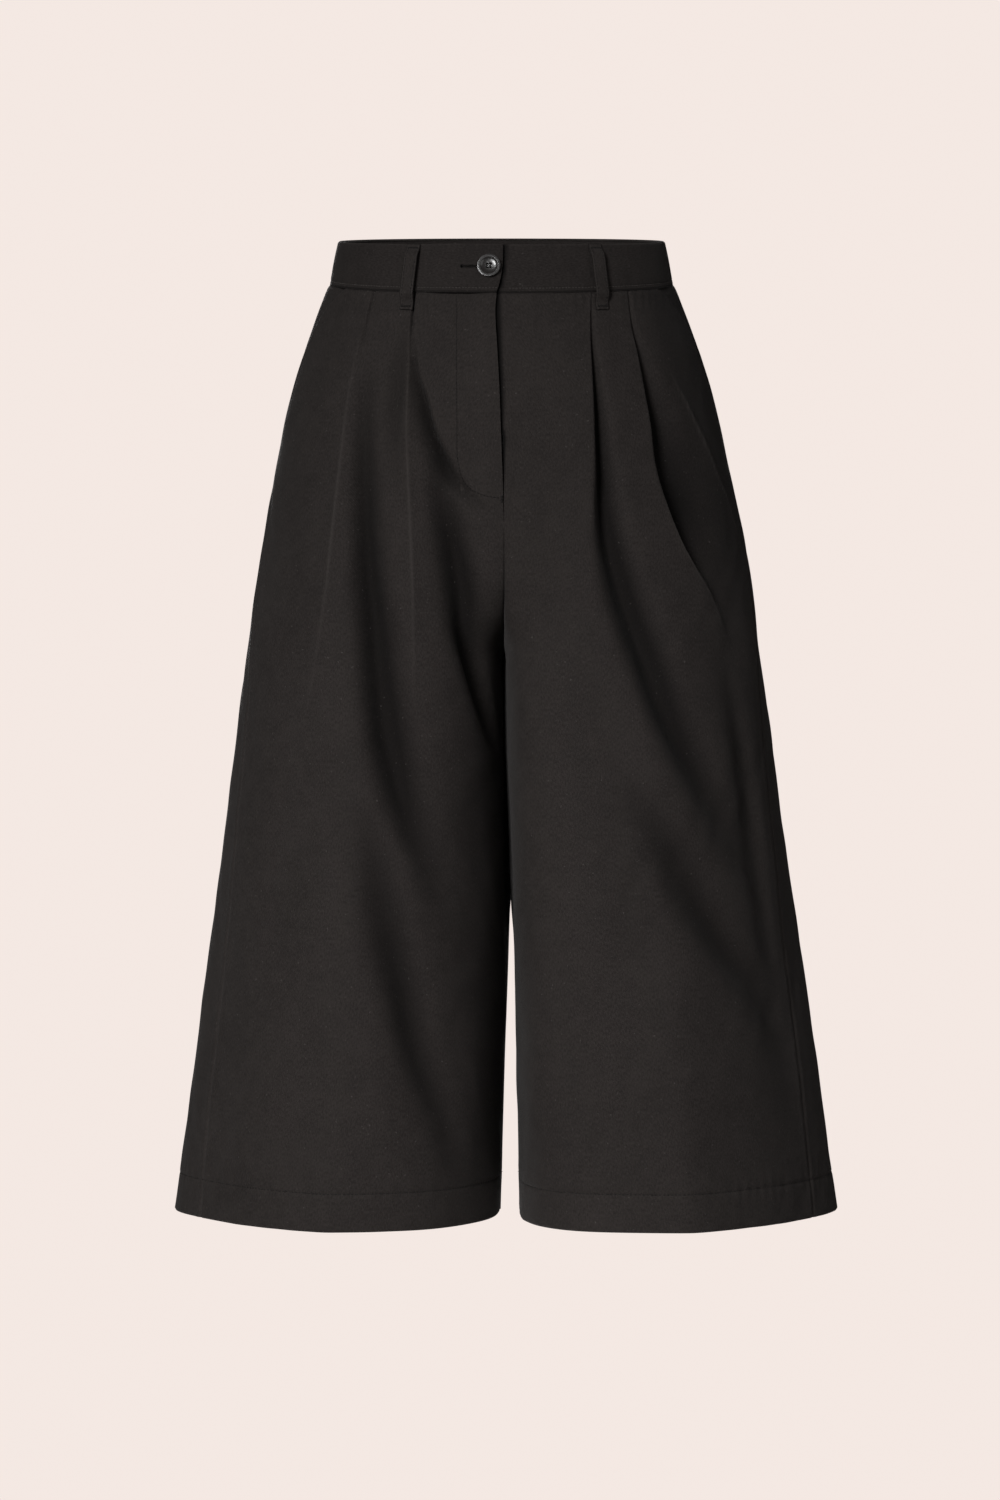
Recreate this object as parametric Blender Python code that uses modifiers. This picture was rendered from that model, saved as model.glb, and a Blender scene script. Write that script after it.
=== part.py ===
"""Pleated culottes, filled out and hollow as worn, held at the waist.

Every piece lies on the same set of rings. A ring is the level line of one leg side, from the
centre front (or the inseam, below the crotch) round the outside to the centre back. X runs to
the wearer's left, Y to the back, Z up, and the origin is the centre of the waistband.
"""

import math
from collections import namedtuple

import bpy
import numpy as np
from mathutils import Matrix, Vector

LEFT = 1
RIGHT = -1
SIDE_NAMES = {LEFT: "left", RIGHT: "right"}

# Driving sizes, in metres.
BAND_HEIGHT = 0.038
BAND_WALL = 0.0024
BAND_LEAN = 0.0065  # the band's top ring is this much smaller all round
CLOTH = 0.0012
GAP = 0.0003  # between neighbouring pieces
LENGTH = 0.736  # waist seam to hem, at the sides
CROTCH_DROP = 0.290  # waist seam to crotch point
HEM_DEPTH = 0.030  # turned-up hem, where the cloth is double
WAIST_TILT = 0.16  # the waist rises towards the back
WAIST_SEAM_Z = -BAND_HEIGHT / 2
HEM_Z = WAIST_SEAM_Z - LENGTH
SECTION_POWER = 2.2  # 2 is an ellipse, more is squarer
FORK_POWER = 6  # how late the one waist ring turns into two leg rings
INNER_WAVE = 0.0032  # the two inner legs follow each other's wave, so they hang close
INNER_WAVE_DEPTH = 0.022

FLY_LENGTH = 0.168
FLY_STRIP_ROWS = 7  # panel rows down to the end of the zip
FLY_UNDERLAP = 0.008  # the left front runs on this far under the right one
FLY_UNDERLAP_DROP = 0.115
LAP_SET_BACK = 0.0036  # the lap's edge leans this far off the centre line at the top
LAP_SET_BACK_DROP = 0.198
LAP_LIFT = 0.0016  # the right front lies this far out over the left one
LAP_BLEND = 0.018
BAND_UNDERLAP = 0.036
BAND_LAP_LIFT = BAND_WALL + 0.0005  # the right band's end, out over the underlap
BAND_LAP_BLEND = 0.024
BAND_BELOW = 1.5 * GAP  # the band stops this far above the panels
ZIP_WALL = 0.0010
ZIP_REACH = {LEFT: 0.014, RIGHT: 0.012}
ZIP_SINK = 0.0020
SHIELD_REACH = {LEFT: 0.008, RIGHT: 0.034}
SHIELD_SINK = 0.0034
BUTTON_X = 0.012  # centre line to button, on the wearer's right
BUTTON_RISE = 0.0025  # above the middle of the band
BUTTON_DIAMETER = 0.018
BUTTON_THICKNESS = 0.0032
BUTTON_STEPS = 28
BUTTON_HOLE_CIRCLE = 0.0021
BUTTON_HOLE_RADIUS = 0.0009
CUT_DEPTH = 0.012  # length of every cutter through the band or the button
BUTTONHOLE_LENGTH = 0.024
BUTTONHOLE_WIDTH = 0.0014
SHANK_DIAMETER = 0.0026
SHANK_CLEAR = 0.0006

LOOP_WIDTH = 0.0125
LOOP_WALL = 0.0015
LOOP_STAND = 0.0034  # clear height under a belt loop
LOOP_BELOW_SEAM = 0.013
LOOP_TACK = 0.005  # length sewn down at each end
LOOP_RISE = 0.008  # length over which it rises off the cloth
LOOP_LEAN = 0.006  # its lower end is this much further out
FRONT_LOOP_X = {LEFT: 0.071, RIGHT: 0.069}
BACK_LOOP_X = 0.086

# The outline by height: drop is measured down from the waist seam.
Outline = namedtuple("Outline", "drop half_width front_depth back_depth sway divide half_gap")
OUTLINE = (
    Outline(0.000, 0.1370, 0.095, 0.096, -0.0012, 0.0000, 0.0003),
    Outline(0.035, 0.1520, 0.103, 0.108, -0.0012, 0.0000, 0.0003),
    Outline(0.083, 0.1665, 0.113, 0.125, -0.0010, 0.0000, 0.0003),
    Outline(0.131, 0.1765, 0.121, 0.136, -0.0006, 0.0004, 0.0003),
    Outline(0.227, 0.1950, 0.131, 0.142, 0.0000, 0.0010, 0.0003),
    Outline(0.323, 0.2090, 0.136, 0.141, 0.0006, 0.0020, 0.0006),
    Outline(0.491, 0.2310, 0.142, 0.142, 0.0012, 0.0065, 0.0012),
    Outline(0.620, 0.2480, 0.146, 0.144, 0.0016, 0.0062, 0.0045),
    Outline(0.736, 0.2635, 0.150, 0.146, 0.0020, 0.0056, 0.0074),
)

# The outer side of each leg gets flatter towards the hem, with a tighter turn at its edge.
SidePower = namedtuple("SidePower", "drop power")
SIDE_POWER = (
    SidePower(0.000, 2.2),
    SidePower(0.200, 2.2),
    SidePower(0.450, 1.90),
    SidePower(0.620, 1.60),
    SidePower(0.736, 1.42),
)

# Where the side seam and the slanted pocket mouth run, in degrees in front of the widest point.
SeamPlace = namedtuple("SeamPlace", "drop angle")
SIDE_SEAM = (
    SeamPlace(0.000, -9.0),
    SeamPlace(0.120, -3.0),
    SeamPlace(0.200, 7.0),
    SeamPlace(0.300, 20.0),
    SeamPlace(0.450, 26.0),
    SeamPlace(0.736, 30.0),
)
POCKET_MOUTH = (
    SeamPlace(0.000, 27.0),
    SeamPlace(0.020, 15.0),
    SeamPlace(0.050, 6.0),
    SeamPlace(0.085, 2.0),
    SeamPlace(0.125, -2.6),
)
MOUTH_DROP = 0.125
FACING_SINK = 0.0004  # clear of the front's inner face
FACING_DROP = 0.150
MOUTH_EASE = (0.004, 0.024)  # behind the mouth, where the facing comes up to the surface
BAG_DROP = 0.205
BAG_WALL = 0.0016
BAG_INSET = 0.008
BAG_REACH = 0.105  # pocket bag, from the side seam towards the centre
BAG_ROUNDING = 0.055  # height of its rounded end
BAG_NARROWING = 0.045
BAG_CLEAR = 0.0008  # from the facing's inner face
BAG_SINK = 0.009  # how far it hangs inside the pleats

# A pleat is a step: the cloth on the centre's side lies on top of the cloth beside it.
# x is its distance from the centre line, crest and valley its rise and fall.
Pleat = namedtuple("Pleat", "drop x crest valley")
PLEATS = {
    (LEFT, "inner"): (
        Pleat(0.000, 0.068, 0.0000, 0.0003),
        Pleat(0.030, 0.069, 0.0010, 0.0012),
        Pleat(0.085, 0.072, 0.0026, 0.0030),
        Pleat(0.165, 0.075, 0.0036, 0.0056),
        Pleat(0.213, 0.082, 0.0034, 0.0070),
        Pleat(0.275, 0.101, 0.0030, 0.0076),
        Pleat(0.335, 0.125, 0.0022, 0.0060),
        Pleat(0.402, 0.158, 0.0010, 0.0030),
        Pleat(0.500, 0.190, 0.0004, 0.0012),
        Pleat(0.736, 0.226, 0.0002, 0.0006),
    ),
    (LEFT, "outer"): (
        Pleat(0.000, 0.098, 0.0000, 0.0003),
        Pleat(0.026, 0.102, 0.0014, 0.0016),
        Pleat(0.083, 0.116, 0.0034, 0.0044),
        Pleat(0.137, 0.124, 0.0034, 0.0056),
        Pleat(0.198, 0.142, 0.0028, 0.0056),
        Pleat(0.232, 0.160, 0.0016, 0.0040),
        Pleat(0.292, 0.177, 0.0006, 0.0020),
        Pleat(0.402, 0.205, 0.0002, 0.0008),
        Pleat(0.736, 0.242, 0.0001, 0.0004),
    ),
    (RIGHT, "inner"): (
        Pleat(0.000, 0.069, 0.0000, 0.0003),
        Pleat(0.035, 0.072, 0.0014, 0.0014),
        Pleat(0.111, 0.073, 0.0030, 0.0032),
        Pleat(0.156, 0.071, 0.0032, 0.0036),
        Pleat(0.237, 0.070, 0.0020, 0.0024),
        Pleat(0.330, 0.074, 0.0008, 0.0014),
        Pleat(0.480, 0.080, 0.0003, 0.0008),
        Pleat(0.736, 0.086, 0.0002, 0.0004),
    ),
    (RIGHT, "outer"): (
        Pleat(0.000, 0.101, 0.0000, 0.0003),
        Pleat(0.036, 0.110, 0.0016, 0.0020),
        Pleat(0.074, 0.117, 0.0032, 0.0036),
        Pleat(0.130, 0.124, 0.0034, 0.0042),
        Pleat(0.209, 0.133, 0.0020, 0.0026),
        Pleat(0.280, 0.145, 0.0008, 0.0012),
        Pleat(0.440, 0.176, 0.0003, 0.0006),
        Pleat(0.736, 0.205, 0.0001, 0.0003),
    ),
}
CREST_REACH = 0.016
VALLEY_REACH = 0.024
PLEAT_STEP = 0.0022  # width of the step itself

# Soft folds: height is out if positive and in if negative, width is the half width.
Fold = namedtuple("Fold", "drop x height width")
FRONT_FOLDS = {
    LEFT: (
        (
            Fold(0.100, 0.146, 0.0000, 0.008),
            Fold(0.140, 0.168, 0.0020, 0.009),
            Fold(0.190, 0.184, 0.0000, 0.010),
        ),
        (
            Fold(0.380, 0.096, 0.0000, 0.022),
            Fold(0.440, 0.130, -0.0050, 0.022),
            Fold(0.517, 0.170, -0.0065, 0.022),
            Fold(0.600, 0.204, -0.0040, 0.022),
            Fold(0.736, 0.230, -0.0020, 0.022),
        ),
        (
            Fold(0.260, 0.040, 0.0000, 0.030),
            Fold(0.420, 0.070, 0.0040, 0.034),
            Fold(0.600, 0.110, 0.0050, 0.040),
            Fold(0.736, 0.120, 0.0040, 0.044),
        ),
    ),
    RIGHT: (
        (
            Fold(0.090, 0.107, 0.0000, 0.009),
            Fold(0.160, 0.108, -0.0030, 0.010),
            Fold(0.244, 0.104, -0.0050, 0.012),
            Fold(0.322, 0.095, -0.0055, 0.014),
            Fold(0.400, 0.074, -0.0030, 0.014),
            Fold(0.450, 0.052, 0.0000, 0.014),
        ),
        (
            Fold(0.140, 0.058, 0.0000, 0.008),
            Fold(0.203, 0.044, -0.0035, 0.009),
            Fold(0.318, 0.027, -0.0040, 0.011),
            Fold(0.381, 0.012, 0.0000, 0.012),
        ),
        (
            Fold(0.400, 0.104, 0.0000, 0.020),
            Fold(0.503, 0.086, -0.0060, 0.020),
            Fold(0.603, 0.062, -0.0060, 0.022),
            Fold(0.700, 0.036, -0.0030, 0.022),
        ),
    ),
}
BACK_FOLDS = {
    LEFT: (
        (
            Fold(0.200, 0.070, 0.0000, 0.020),
            Fold(0.330, 0.078, -0.0060, 0.022),
            Fold(0.540, 0.098, -0.0070, 0.026),
            Fold(0.736, 0.108, -0.0050, 0.028),
        ),
        (
            Fold(0.240, 0.150, 0.0000, 0.018),
            Fold(0.400, 0.166, -0.0050, 0.020),
            Fold(0.736, 0.204, -0.0040, 0.024),
        ),
    ),
    RIGHT: (
        (
            Fold(0.190, 0.078, 0.0000, 0.020),
            Fold(0.320, 0.082, -0.0050, 0.020),
            Fold(0.520, 0.090, -0.0075, 0.026),
            Fold(0.736, 0.100, -0.0050, 0.030),
        ),
        (
            Fold(0.260, 0.148, 0.0000, 0.018),
            Fold(0.430, 0.172, -0.0055, 0.020),
            Fold(0.736, 0.210, -0.0040, 0.024),
        ),
    ),
}
# A back dart, taken in below the band.
DART_X = 0.078
DART_LENGTH = 0.105
DART_DEPTH = 0.0012
DART_WIDTH = 0.005

Material = namedtuple("Material", "color roughness metallic")
MATERIALS = {
    "black twill": Material((0.021, 0.019, 0.018), 0.82, 0.0),
    "black lining": Material((0.018, 0.017, 0.017), 0.70, 0.0),
    "black resin": Material((0.008, 0.007, 0.007), 0.22, 0.0),
    "black thread": Material((0.016, 0.015, 0.015), 0.55, 0.0),
}


# Reading the tables.


def read(rows, name, drop):
    """A table's column at this drop, as a smooth curve through its rows."""
    places = [row.drop for row in rows]
    values = [getattr(row, name) for row in rows]
    if drop <= places[0]:
        return values[0]
    if drop >= places[-1]:
        return values[-1]
    index = next(i for i in range(len(places) - 1) if drop <= places[i + 1])
    slopes = []
    for i in (index, index + 1):
        low = max(i - 1, 0)
        high = min(i + 1, len(places) - 1)
        slopes.append((values[high] - values[low]) / (places[high] - places[low]))
    span = places[index + 1] - places[index]
    t = (drop - places[index]) / span
    start = (2 * t**3 - 3 * t**2 + 1) * values[index] + (t**3 - 2 * t**2 + t) * span * slopes[0]
    end = (3 * t**2 - 2 * t**3) * values[index + 1] + (t**3 - t**2) * span * slopes[1]
    return start + end


def ease(value, start, end):
    """0 before start, 1 after end, and a smooth rise between them."""
    t = min(max((value - start) / (end - start), 0.0), 1.0)
    return t * t * (3 - 2 * t)


def power(value, exponent):
    return math.copysign(abs(value) ** exponent, value)


# The rings that all the cloth lies on.


class Ring:
    """The level line of one leg side at one drop, in distances out from the dividing line."""

    SAMPLES = 241

    def __init__(self, side, drop, underlap=0.0):
        self.side = side
        self.drop = drop
        depth_down = max(drop, 0.0)
        lean = BAND_LEAN * max(-drop, 0.0) / BAND_HEIGHT
        self.divide = read(OUTLINE, "divide", depth_down)
        sway = read(OUTLINE, "sway", depth_down)
        reach = read(OUTLINE, "half_width", depth_down) - lean + side * (sway - self.divide)
        front_depth = read(OUTLINE, "front_depth", depth_down) - lean
        back_depth = read(OUTLINE, "back_depth", depth_down) - lean
        if drop < CROTCH_DROP:
            share = depth_down / CROTCH_DROP
            fork = share**FORK_POWER * (1 + FORK_POWER * (1 - share))
            width = reach / (1 + fork)
            centre = reach - width
            front_end = self.angle_at(GAP / 2 - underlap, centre, width)
            back_end = self.angle_at(GAP / 2, centre, width)
        else:
            half_gap = read(OUTLINE, "half_gap", depth_down)
            width = (reach - half_gap) / 2
            centre = (reach + half_gap) / 2
            front_end = math.pi - self.angle_at_depth(GAP / 2, front_depth)
            back_end = math.pi - self.angle_at_depth(GAP / 2, back_depth)
        angles = np.linspace(front_end, -back_end, self.SAMPLES)
        on_outer_side = np.abs(angles) < math.pi / 2
        side_power = read(SIDE_POWER, "power", depth_down)
        exponents = 2 / np.where(on_outer_side, side_power, SECTION_POWER)
        depths = np.where(angles > 0, front_depth, back_depth)
        places = list(zip(angles, depths, exponents))
        self.x = np.array([centre + width * power(math.cos(a), e) for a, _, e in places])
        self.y = np.array([-depth * power(math.sin(a), e) for a, depth, e in places])
        hanging = ease(drop, CROTCH_DROP, 0.36) * (1 - ease(drop, 0.50, 0.66))
        wave = INNER_WAVE * hanging * np.sin(np.clip(self.y / INNER_WAVE_DEPTH, -2, 2) * math.pi / 2)
        inner_share = np.clip(1 - (self.x - centre + width) / (0.5 * width), 0.0, 1.0)
        self.x += side * wave * inner_share
        steps = np.hypot(np.diff(self.x), np.diff(self.y))
        self.arc = np.concatenate(([0.0], np.cumsum(steps)))
        self.length = self.arc[-1]
        self.angles = angles
        self.slope_x = np.gradient(self.x, self.arc)
        self.slope_y = np.gradient(self.y, self.arc)

    @staticmethod
    def angle_at(x, centre, width):
        share = min(max((x - centre) / width, -1.0), 1.0)
        return math.acos(power(share, SECTION_POWER / 2))

    @staticmethod
    def angle_at_depth(y, depth):
        return math.asin((y / depth) ** (SECTION_POWER / 2))

    def arc_of_angle(self, degrees):
        """Arc length at an angle in front of the widest point."""
        return float(np.interp(-math.radians(degrees), -self.angles, self.arc))

    def arc_of_x(self, x, back=False):
        """Arc length where the front (or back) of the ring is this far from the centre line."""
        widest = int(np.argmax(self.x))
        local = x - self.side * self.divide
        if back:
            return float(np.interp(local, self.x[: widest - 1 : -1], self.arc[: widest - 1 : -1]))
        return float(np.interp(local, self.x[: widest + 1], self.arc[: widest + 1]))

    def point(self, arc, lift=0.0):
        """A point of the garment's outer surface, moved out along the ring's normal."""
        x = np.interp(arc, self.arc, self.x)
        y = np.interp(arc, self.arc, self.y)
        slope_x = np.interp(arc, self.arc, self.slope_x)
        slope_y = np.interp(arc, self.arc, self.slope_y)
        size = math.hypot(slope_x, slope_y)
        waist_z = WAIST_SEAM_Z + WAIST_TILT * y
        if self.drop < 0:
            z = waist_z - self.drop
        else:
            z = HEM_Z + (waist_z - HEM_Z) * (1 - self.drop / LENGTH)
        x += slope_y / size * lift
        y -= slope_x / size * lift
        return Vector((self.divide + self.side * x, y, z))


# Seam places and relief of the cloth.


def side_seam_arc(ring):
    return ring.arc_of_angle(read(SIDE_SEAM, "angle", max(ring.drop, 0.0)))


def side_gap(drop):
    """Half the gap at a side seam, wider at the hem, where the cloth is double."""
    return GAP / 2 + GAP * ease(drop, LENGTH - 2 * HEM_DEPTH, LENGTH - HEM_DEPTH)


def pocket_mouth_arc(ring):
    return ring.arc_of_angle(read(POCKET_MOUTH, "angle", ring.drop))


def front_edge_arc(ring):
    """Outer edge of a front: the pocket mouth, then the side seam below it."""
    if ring.drop < MOUTH_DROP:
        return min(pocket_mouth_arc(ring), side_seam_arc(ring) - GAP)
    return side_seam_arc(ring)


def pleat_arc(ring, name):
    return ring.arc_of_x(read(PLEATS[ring.side, name], "x", ring.drop))


def pleat_relief(ring, arc):
    lift = 0.0
    clear_of_loop = ease(ring.drop, LOOP_BELOW_SEAM, 0.035)
    for name in ("inner", "outer"):
        rows = PLEATS[ring.side, name]
        away = arc - pleat_arc(ring, name)
        if away <= PLEAT_STEP / 2:
            crest = clear_of_loop * read(rows, "crest", ring.drop)
            lift += crest * math.exp(-((away / CREST_REACH) ** 2))
        else:
            lift -= read(rows, "valley", ring.drop) * math.exp(-((away / VALLEY_REACH) ** 2))
    return lift


def fold_relief(ring, arc, folds, back=False):
    lift = 0.0
    for rows in folds[ring.side]:
        if rows[0].drop < ring.drop < rows[-1].drop or ring.drop == LENGTH == rows[-1].drop:
            away = arc - ring.arc_of_x(read(rows, "x", ring.drop), back)
            width = read(rows, "width", ring.drop)
            lift += read(rows, "height", ring.drop) * math.exp(-((away / width) ** 2))
    return lift


def seam_calm(ring, arc):
    """Folds die out at the ring's two ends, where the halves are sewn together."""
    return ease(arc, 0.0, 0.02) * ease(ring.length - arc, 0.0, 0.02)


def lap_relief(ring, arc):
    """The right front's edge lies on the left one's down to the end of the fly."""
    if ring.side == LEFT:
        return 0.0
    over_underlap = 1 - ease(arc, FLY_UNDERLAP + 0.002, FLY_UNDERLAP + LAP_BLEND)
    above_fly_end = 1 - ease(ring.drop, FLY_UNDERLAP_DROP + 0.020, FLY_LENGTH)
    return LAP_LIFT * over_underlap * above_fly_end


def front_relief(ring, arc):
    folds = pleat_relief(ring, arc) + fold_relief(ring, arc, FRONT_FOLDS)
    return folds * seam_calm(ring, arc) + lap_relief(ring, arc)


def back_relief(ring, arc):
    lift = fold_relief(ring, arc, BACK_FOLDS, back=True) * seam_calm(ring, arc)
    if 0 <= ring.drop < DART_LENGTH:
        away = arc - ring.arc_of_x(DART_X, back=True)
        fade = 1 - ease(ring.drop, 0.6 * DART_LENGTH, DART_LENGTH)
        lift -= DART_DEPTH * fade * math.exp(-((away / DART_WIDTH) ** 2))
    return lift


# Sheets of cloth.


def spread(places, counts):
    """Arc lengths through the given places, with each stretch cut in the given count."""
    arcs = [places[0]]
    for start, end, count in zip(places, places[1:], counts):
        for step in range(1, count + 1):
            t = step / count
            shifted = t - 0.5 * math.sin(2 * math.pi * t) / (2 * math.pi)
            arcs.append(start + (end - start) * shifted)
    return arcs


def make_sheet(name, rows, wall, material, hem_start=None, flip=False):
    """A wall of cloth behind rows of outer points, double below hem_start."""
    points = [point for row in rows for point in row]
    across = len(rows[0])
    faces = []
    for row in range(len(rows) - 1):
        for column in range(across - 1):
            corner = row * across + column
            face = (corner, corner + across, corner + across + 1, corner + 1)
            faces.append(face[::-1] if flip else face)
    mesh = bpy.data.meshes.new(name)
    mesh.from_pydata(points, [], faces)
    sheet = bpy.data.objects.new(name, mesh)
    COLLECTION.objects.link(sheet)
    solidify = sheet.modifiers.new("cloth wall", "SOLIDIFY")
    solidify.thickness = wall
    solidify.offset = -1.0
    if hem_start is not None:
        group = sheet.vertex_groups.new(name="hem")
        group.add(list(range(hem_start * across, len(points))), 1.0, "REPLACE")
        solidify.thickness = 2 * wall
        solidify.vertex_group = group.name
        solidify.thickness_vertex_group = 0.5
    mesh.materials.append(material)
    mesh.shade_smooth()
    mesh.set_sharp_from_angle(angle=math.radians(50))
    return sheet


def drops_down(start, end, count, bias=1.0):
    return [start + (end - start) * (step / count) ** bias for step in range(count + 1)]


def leg_drops():
    """Row heights of a leg panel: close together near the waist, the crotch and the hem."""
    upper = [0.0, 0.012, 0.030] + drops_down(0.055, 0.235, 7)
    fork = [CROTCH_DROP - rise for rise in (0.036, 0.020, 0.010, 0.004, 0.0005)]
    lower = drops_down(CROTCH_DROP + 0.0005, LENGTH - HEM_DEPTH - 0.002, 9, 1.15)
    hem = [LENGTH - HEM_DEPTH, LENGTH]
    return [GAP / 2] + upper[1:] + fork + lower + hem


def fly_underlap(drop):
    """How far the left front runs on under the right one, down to the end of the fly."""
    return FLY_UNDERLAP * (1 - ease(drop, FLY_UNDERLAP_DROP - 0.030, FLY_UNDERLAP_DROP))


def lap_edge(drop):
    """The right front's edge leans off the centre line at the top of the fly."""
    return LAP_SET_BACK * (1 - ease(drop, 0.0, LAP_SET_BACK_DROP))


def front_ring_arcs(side, drop):
    """Ring and column places of a front, from the centre to its outer edge."""
    underlap = fly_underlap(drop) if side == LEFT else 0.0
    ring = Ring(side, drop, underlap)
    start = lap_edge(drop) if side == RIGHT else 0.0
    inner = pleat_arc(ring, "inner")
    outer = pleat_arc(ring, "outer")
    edge = front_edge_arc(ring) - side_gap(drop)
    faded = ease(drop, 0.34, 0.60)
    inner += (0.46 * edge - inner) * faded
    outer += (0.73 * edge - outer) * faded
    outer = min(outer, edge - 0.014)
    inner = min(inner, outer - 0.022)
    places = [start, inner, inner + PLEAT_STEP, outer, outer + PLEAT_STEP, edge]
    return ring, spread(places, (8, 1, 4, 1, 5))


def make_front(side, material):
    rows = []
    drops = leg_drops()
    for drop in drops:
        ring, arcs = front_ring_arcs(side, drop)
        rows.append([ring.point(arc, front_relief(ring, arc)) for arc in arcs])
    name = "front_" + SIDE_NAMES[side]
    return make_sheet(name, rows, CLOTH, material, drops.index(LENGTH - HEM_DEPTH), side == RIGHT)


def make_back(side, material):
    rows = []
    drops = leg_drops()
    for drop in drops:
        ring = Ring(side, drop)
        first_fold, second_fold = BACK_FOLDS[side]
        start = side_seam_arc(ring) + side_gap(drop)
        outer = max(ring.arc_of_x(read(second_fold, "x", drop), back=True), start + 0.030)
        inner = max(ring.arc_of_x(read(first_fold, "x", drop), back=True), outer + 0.030)
        arcs = spread([start, outer, inner, ring.length], (5, 4, 6))
        rows.append([ring.point(arc, back_relief(ring, arc)) for arc in arcs])
    name = "back_" + SIDE_NAMES[side]
    return make_sheet(name, rows, CLOTH, material, drops.index(LENGTH - HEM_DEPTH), side == RIGHT)


def band_drops():
    return drops_down(-BAND_HEIGHT, -BAND_BELOW, 2)


def make_band(side, material):
    """Half a waistband. The right one's end lies on the left one's underlap."""
    rows = []
    for drop in band_drops():
        ring = Ring(side, drop, BAND_UNDERLAP if side == LEFT else 0.0)
        start = 0.0 if side == LEFT else lap_edge(0.0) * (1 + drop / BAND_HEIGHT)
        centre = ring.arc_of_x(0.0) if side == LEFT else 0.0
        places = [start, centre + 0.050, centre + 0.075, ring.length]
        row = []
        for arc in spread(places, (4, 2, 12)):
            covered = BAND_UNDERLAP + 0.006
            lap = 1 - ease(arc, covered, covered + BAND_LAP_BLEND)
            row.append(ring.point(arc, BAND_LAP_LIFT * lap if side == RIGHT else 0.0))
        rows.append(row)
    name = "waistband_" + SIDE_NAMES[side]
    return make_sheet(name, rows, BAND_WALL, material, flip=side == RIGHT)


def make_pocket_facing(side, material):
    """The hip piece behind a slanted pocket mouth, which also runs on under the front."""
    rows = []
    for drop in [drop for drop in leg_drops() if drop < FACING_DROP]:
        ring, front_arcs = front_ring_arcs(side, drop)
        underlap, mouth = front_arcs[-2:]
        seam = max(side_seam_arc(ring) - GAP / 2, mouth + 0.001)
        row = []
        for arc in spread([underlap, mouth, seam], (1, 3)):
            shown = ease(arc - mouth, *MOUTH_EASE)
            sink = (CLOTH + FACING_SINK) * (1 - shown)
            row.append(ring.point(arc, front_relief(ring, min(arc, mouth)) * (1 - shown) - sink))
        rows.append(row)
    name = "pocket_facing_" + SIDE_NAMES[side]
    return make_sheet(name, rows, CLOTH, material, flip=side == RIGHT)


def make_pocket_bag(side, material):
    """The bag that hangs inside the front, with a rounded lower end."""
    rows = []
    for drop in [GAP / 2] + drops_down(0.012, BAG_DROP, 8, 0.8):
        ring = Ring(side, drop)
        low = max(1 - (BAG_DROP - drop) / BAG_ROUNDING, 0.0)
        narrowing = BAG_NARROWING * (1 - math.sqrt(max(1 - low**2, 0.0)))
        seam = side_seam_arc(ring)
        outer = seam - BAG_INSET - narrowing
        inner = seam - BAG_REACH + narrowing
        row = []
        for arc in spread([inner, outer], (5,)):
            inward = ease(drop, 0.0, 0.060) * ease(seam - arc, BAG_INSET, 0.045)
            lift = -(2 * CLOTH + FACING_SINK + BAG_CLEAR) - BAG_SINK * inward
            row.append(ring.point(arc, lift))
        rows.append(row)
    name = "pocket_bag_" + SIDE_NAMES[side]
    return make_sheet(name, rows, BAG_WALL, material, flip=side == RIGHT)


def make_fly_strip(name, reach, sink, wall, material):
    """A strip behind the fly, from one side of the centre line to the other."""
    rows = []
    for drop in [3 * GAP] + leg_drops()[1:FLY_STRIP_ROWS]:
        ring = Ring(LEFT, drop, reach[RIGHT])
        centre = ring.arc_of_x(0.0)
        arcs = spread([0.0, centre, centre + reach[LEFT]], (2, 1))
        rows.append([ring.point(arc, -sink) for arc in arcs])
    return make_sheet(name, rows, wall, material)


def loop_rows():
    """Drop and lift of a belt loop's outer face, which is sewn down at both ends."""
    top = -BAND_HEIGHT
    bottom = LOOP_BELOW_SEAM
    middle = drops_down(top + LOOP_TACK, bottom - LOOP_TACK, 5)
    rows = []
    for drop in [top + GAP] + middle + [bottom]:
        from_top = ease(drop - top, LOOP_TACK / 2, LOOP_TACK / 2 + LOOP_RISE)
        from_bottom = ease(bottom - drop, LOOP_TACK, LOOP_TACK + LOOP_RISE)
        rows.append((drop, GAP + LOOP_WALL + LOOP_STAND * min(from_top, from_bottom)))
    return rows


def make_loop(name, side, x, back, material):
    """A belt loop on the band and the cloth just below it."""
    rows = []
    for drop, lift in loop_rows():
        ring = Ring(side, drop)
        down = (drop + BAND_HEIGHT) / (LOOP_BELOW_SEAM + BAND_HEIGHT)
        middle = ring.arc_of_x(x + LOOP_LEAN * down, back)
        half = LOOP_WIDTH / 2
        rows.append([ring.point(middle + away, lift) for away in (-half, 0.0, half)])
    return make_sheet(name, rows, LOOP_WALL, material, flip=side == RIGHT)


def make_centre_loop(name, material):
    """The belt loop on the centre back seam, half of it on each side's rings."""
    rows = []
    for drop, lift in loop_rows():
        left = Ring(LEFT, drop)
        right = Ring(RIGHT, drop)
        half = LOOP_WIDTH / 2
        edge = left.point(left.length - half, lift)
        other_edge = right.point(right.length - half, lift)
        rows.append([edge, left.point(left.length, lift), other_edge])
    return make_sheet(name, rows, LOOP_WALL, material)


# The fastening.


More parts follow.
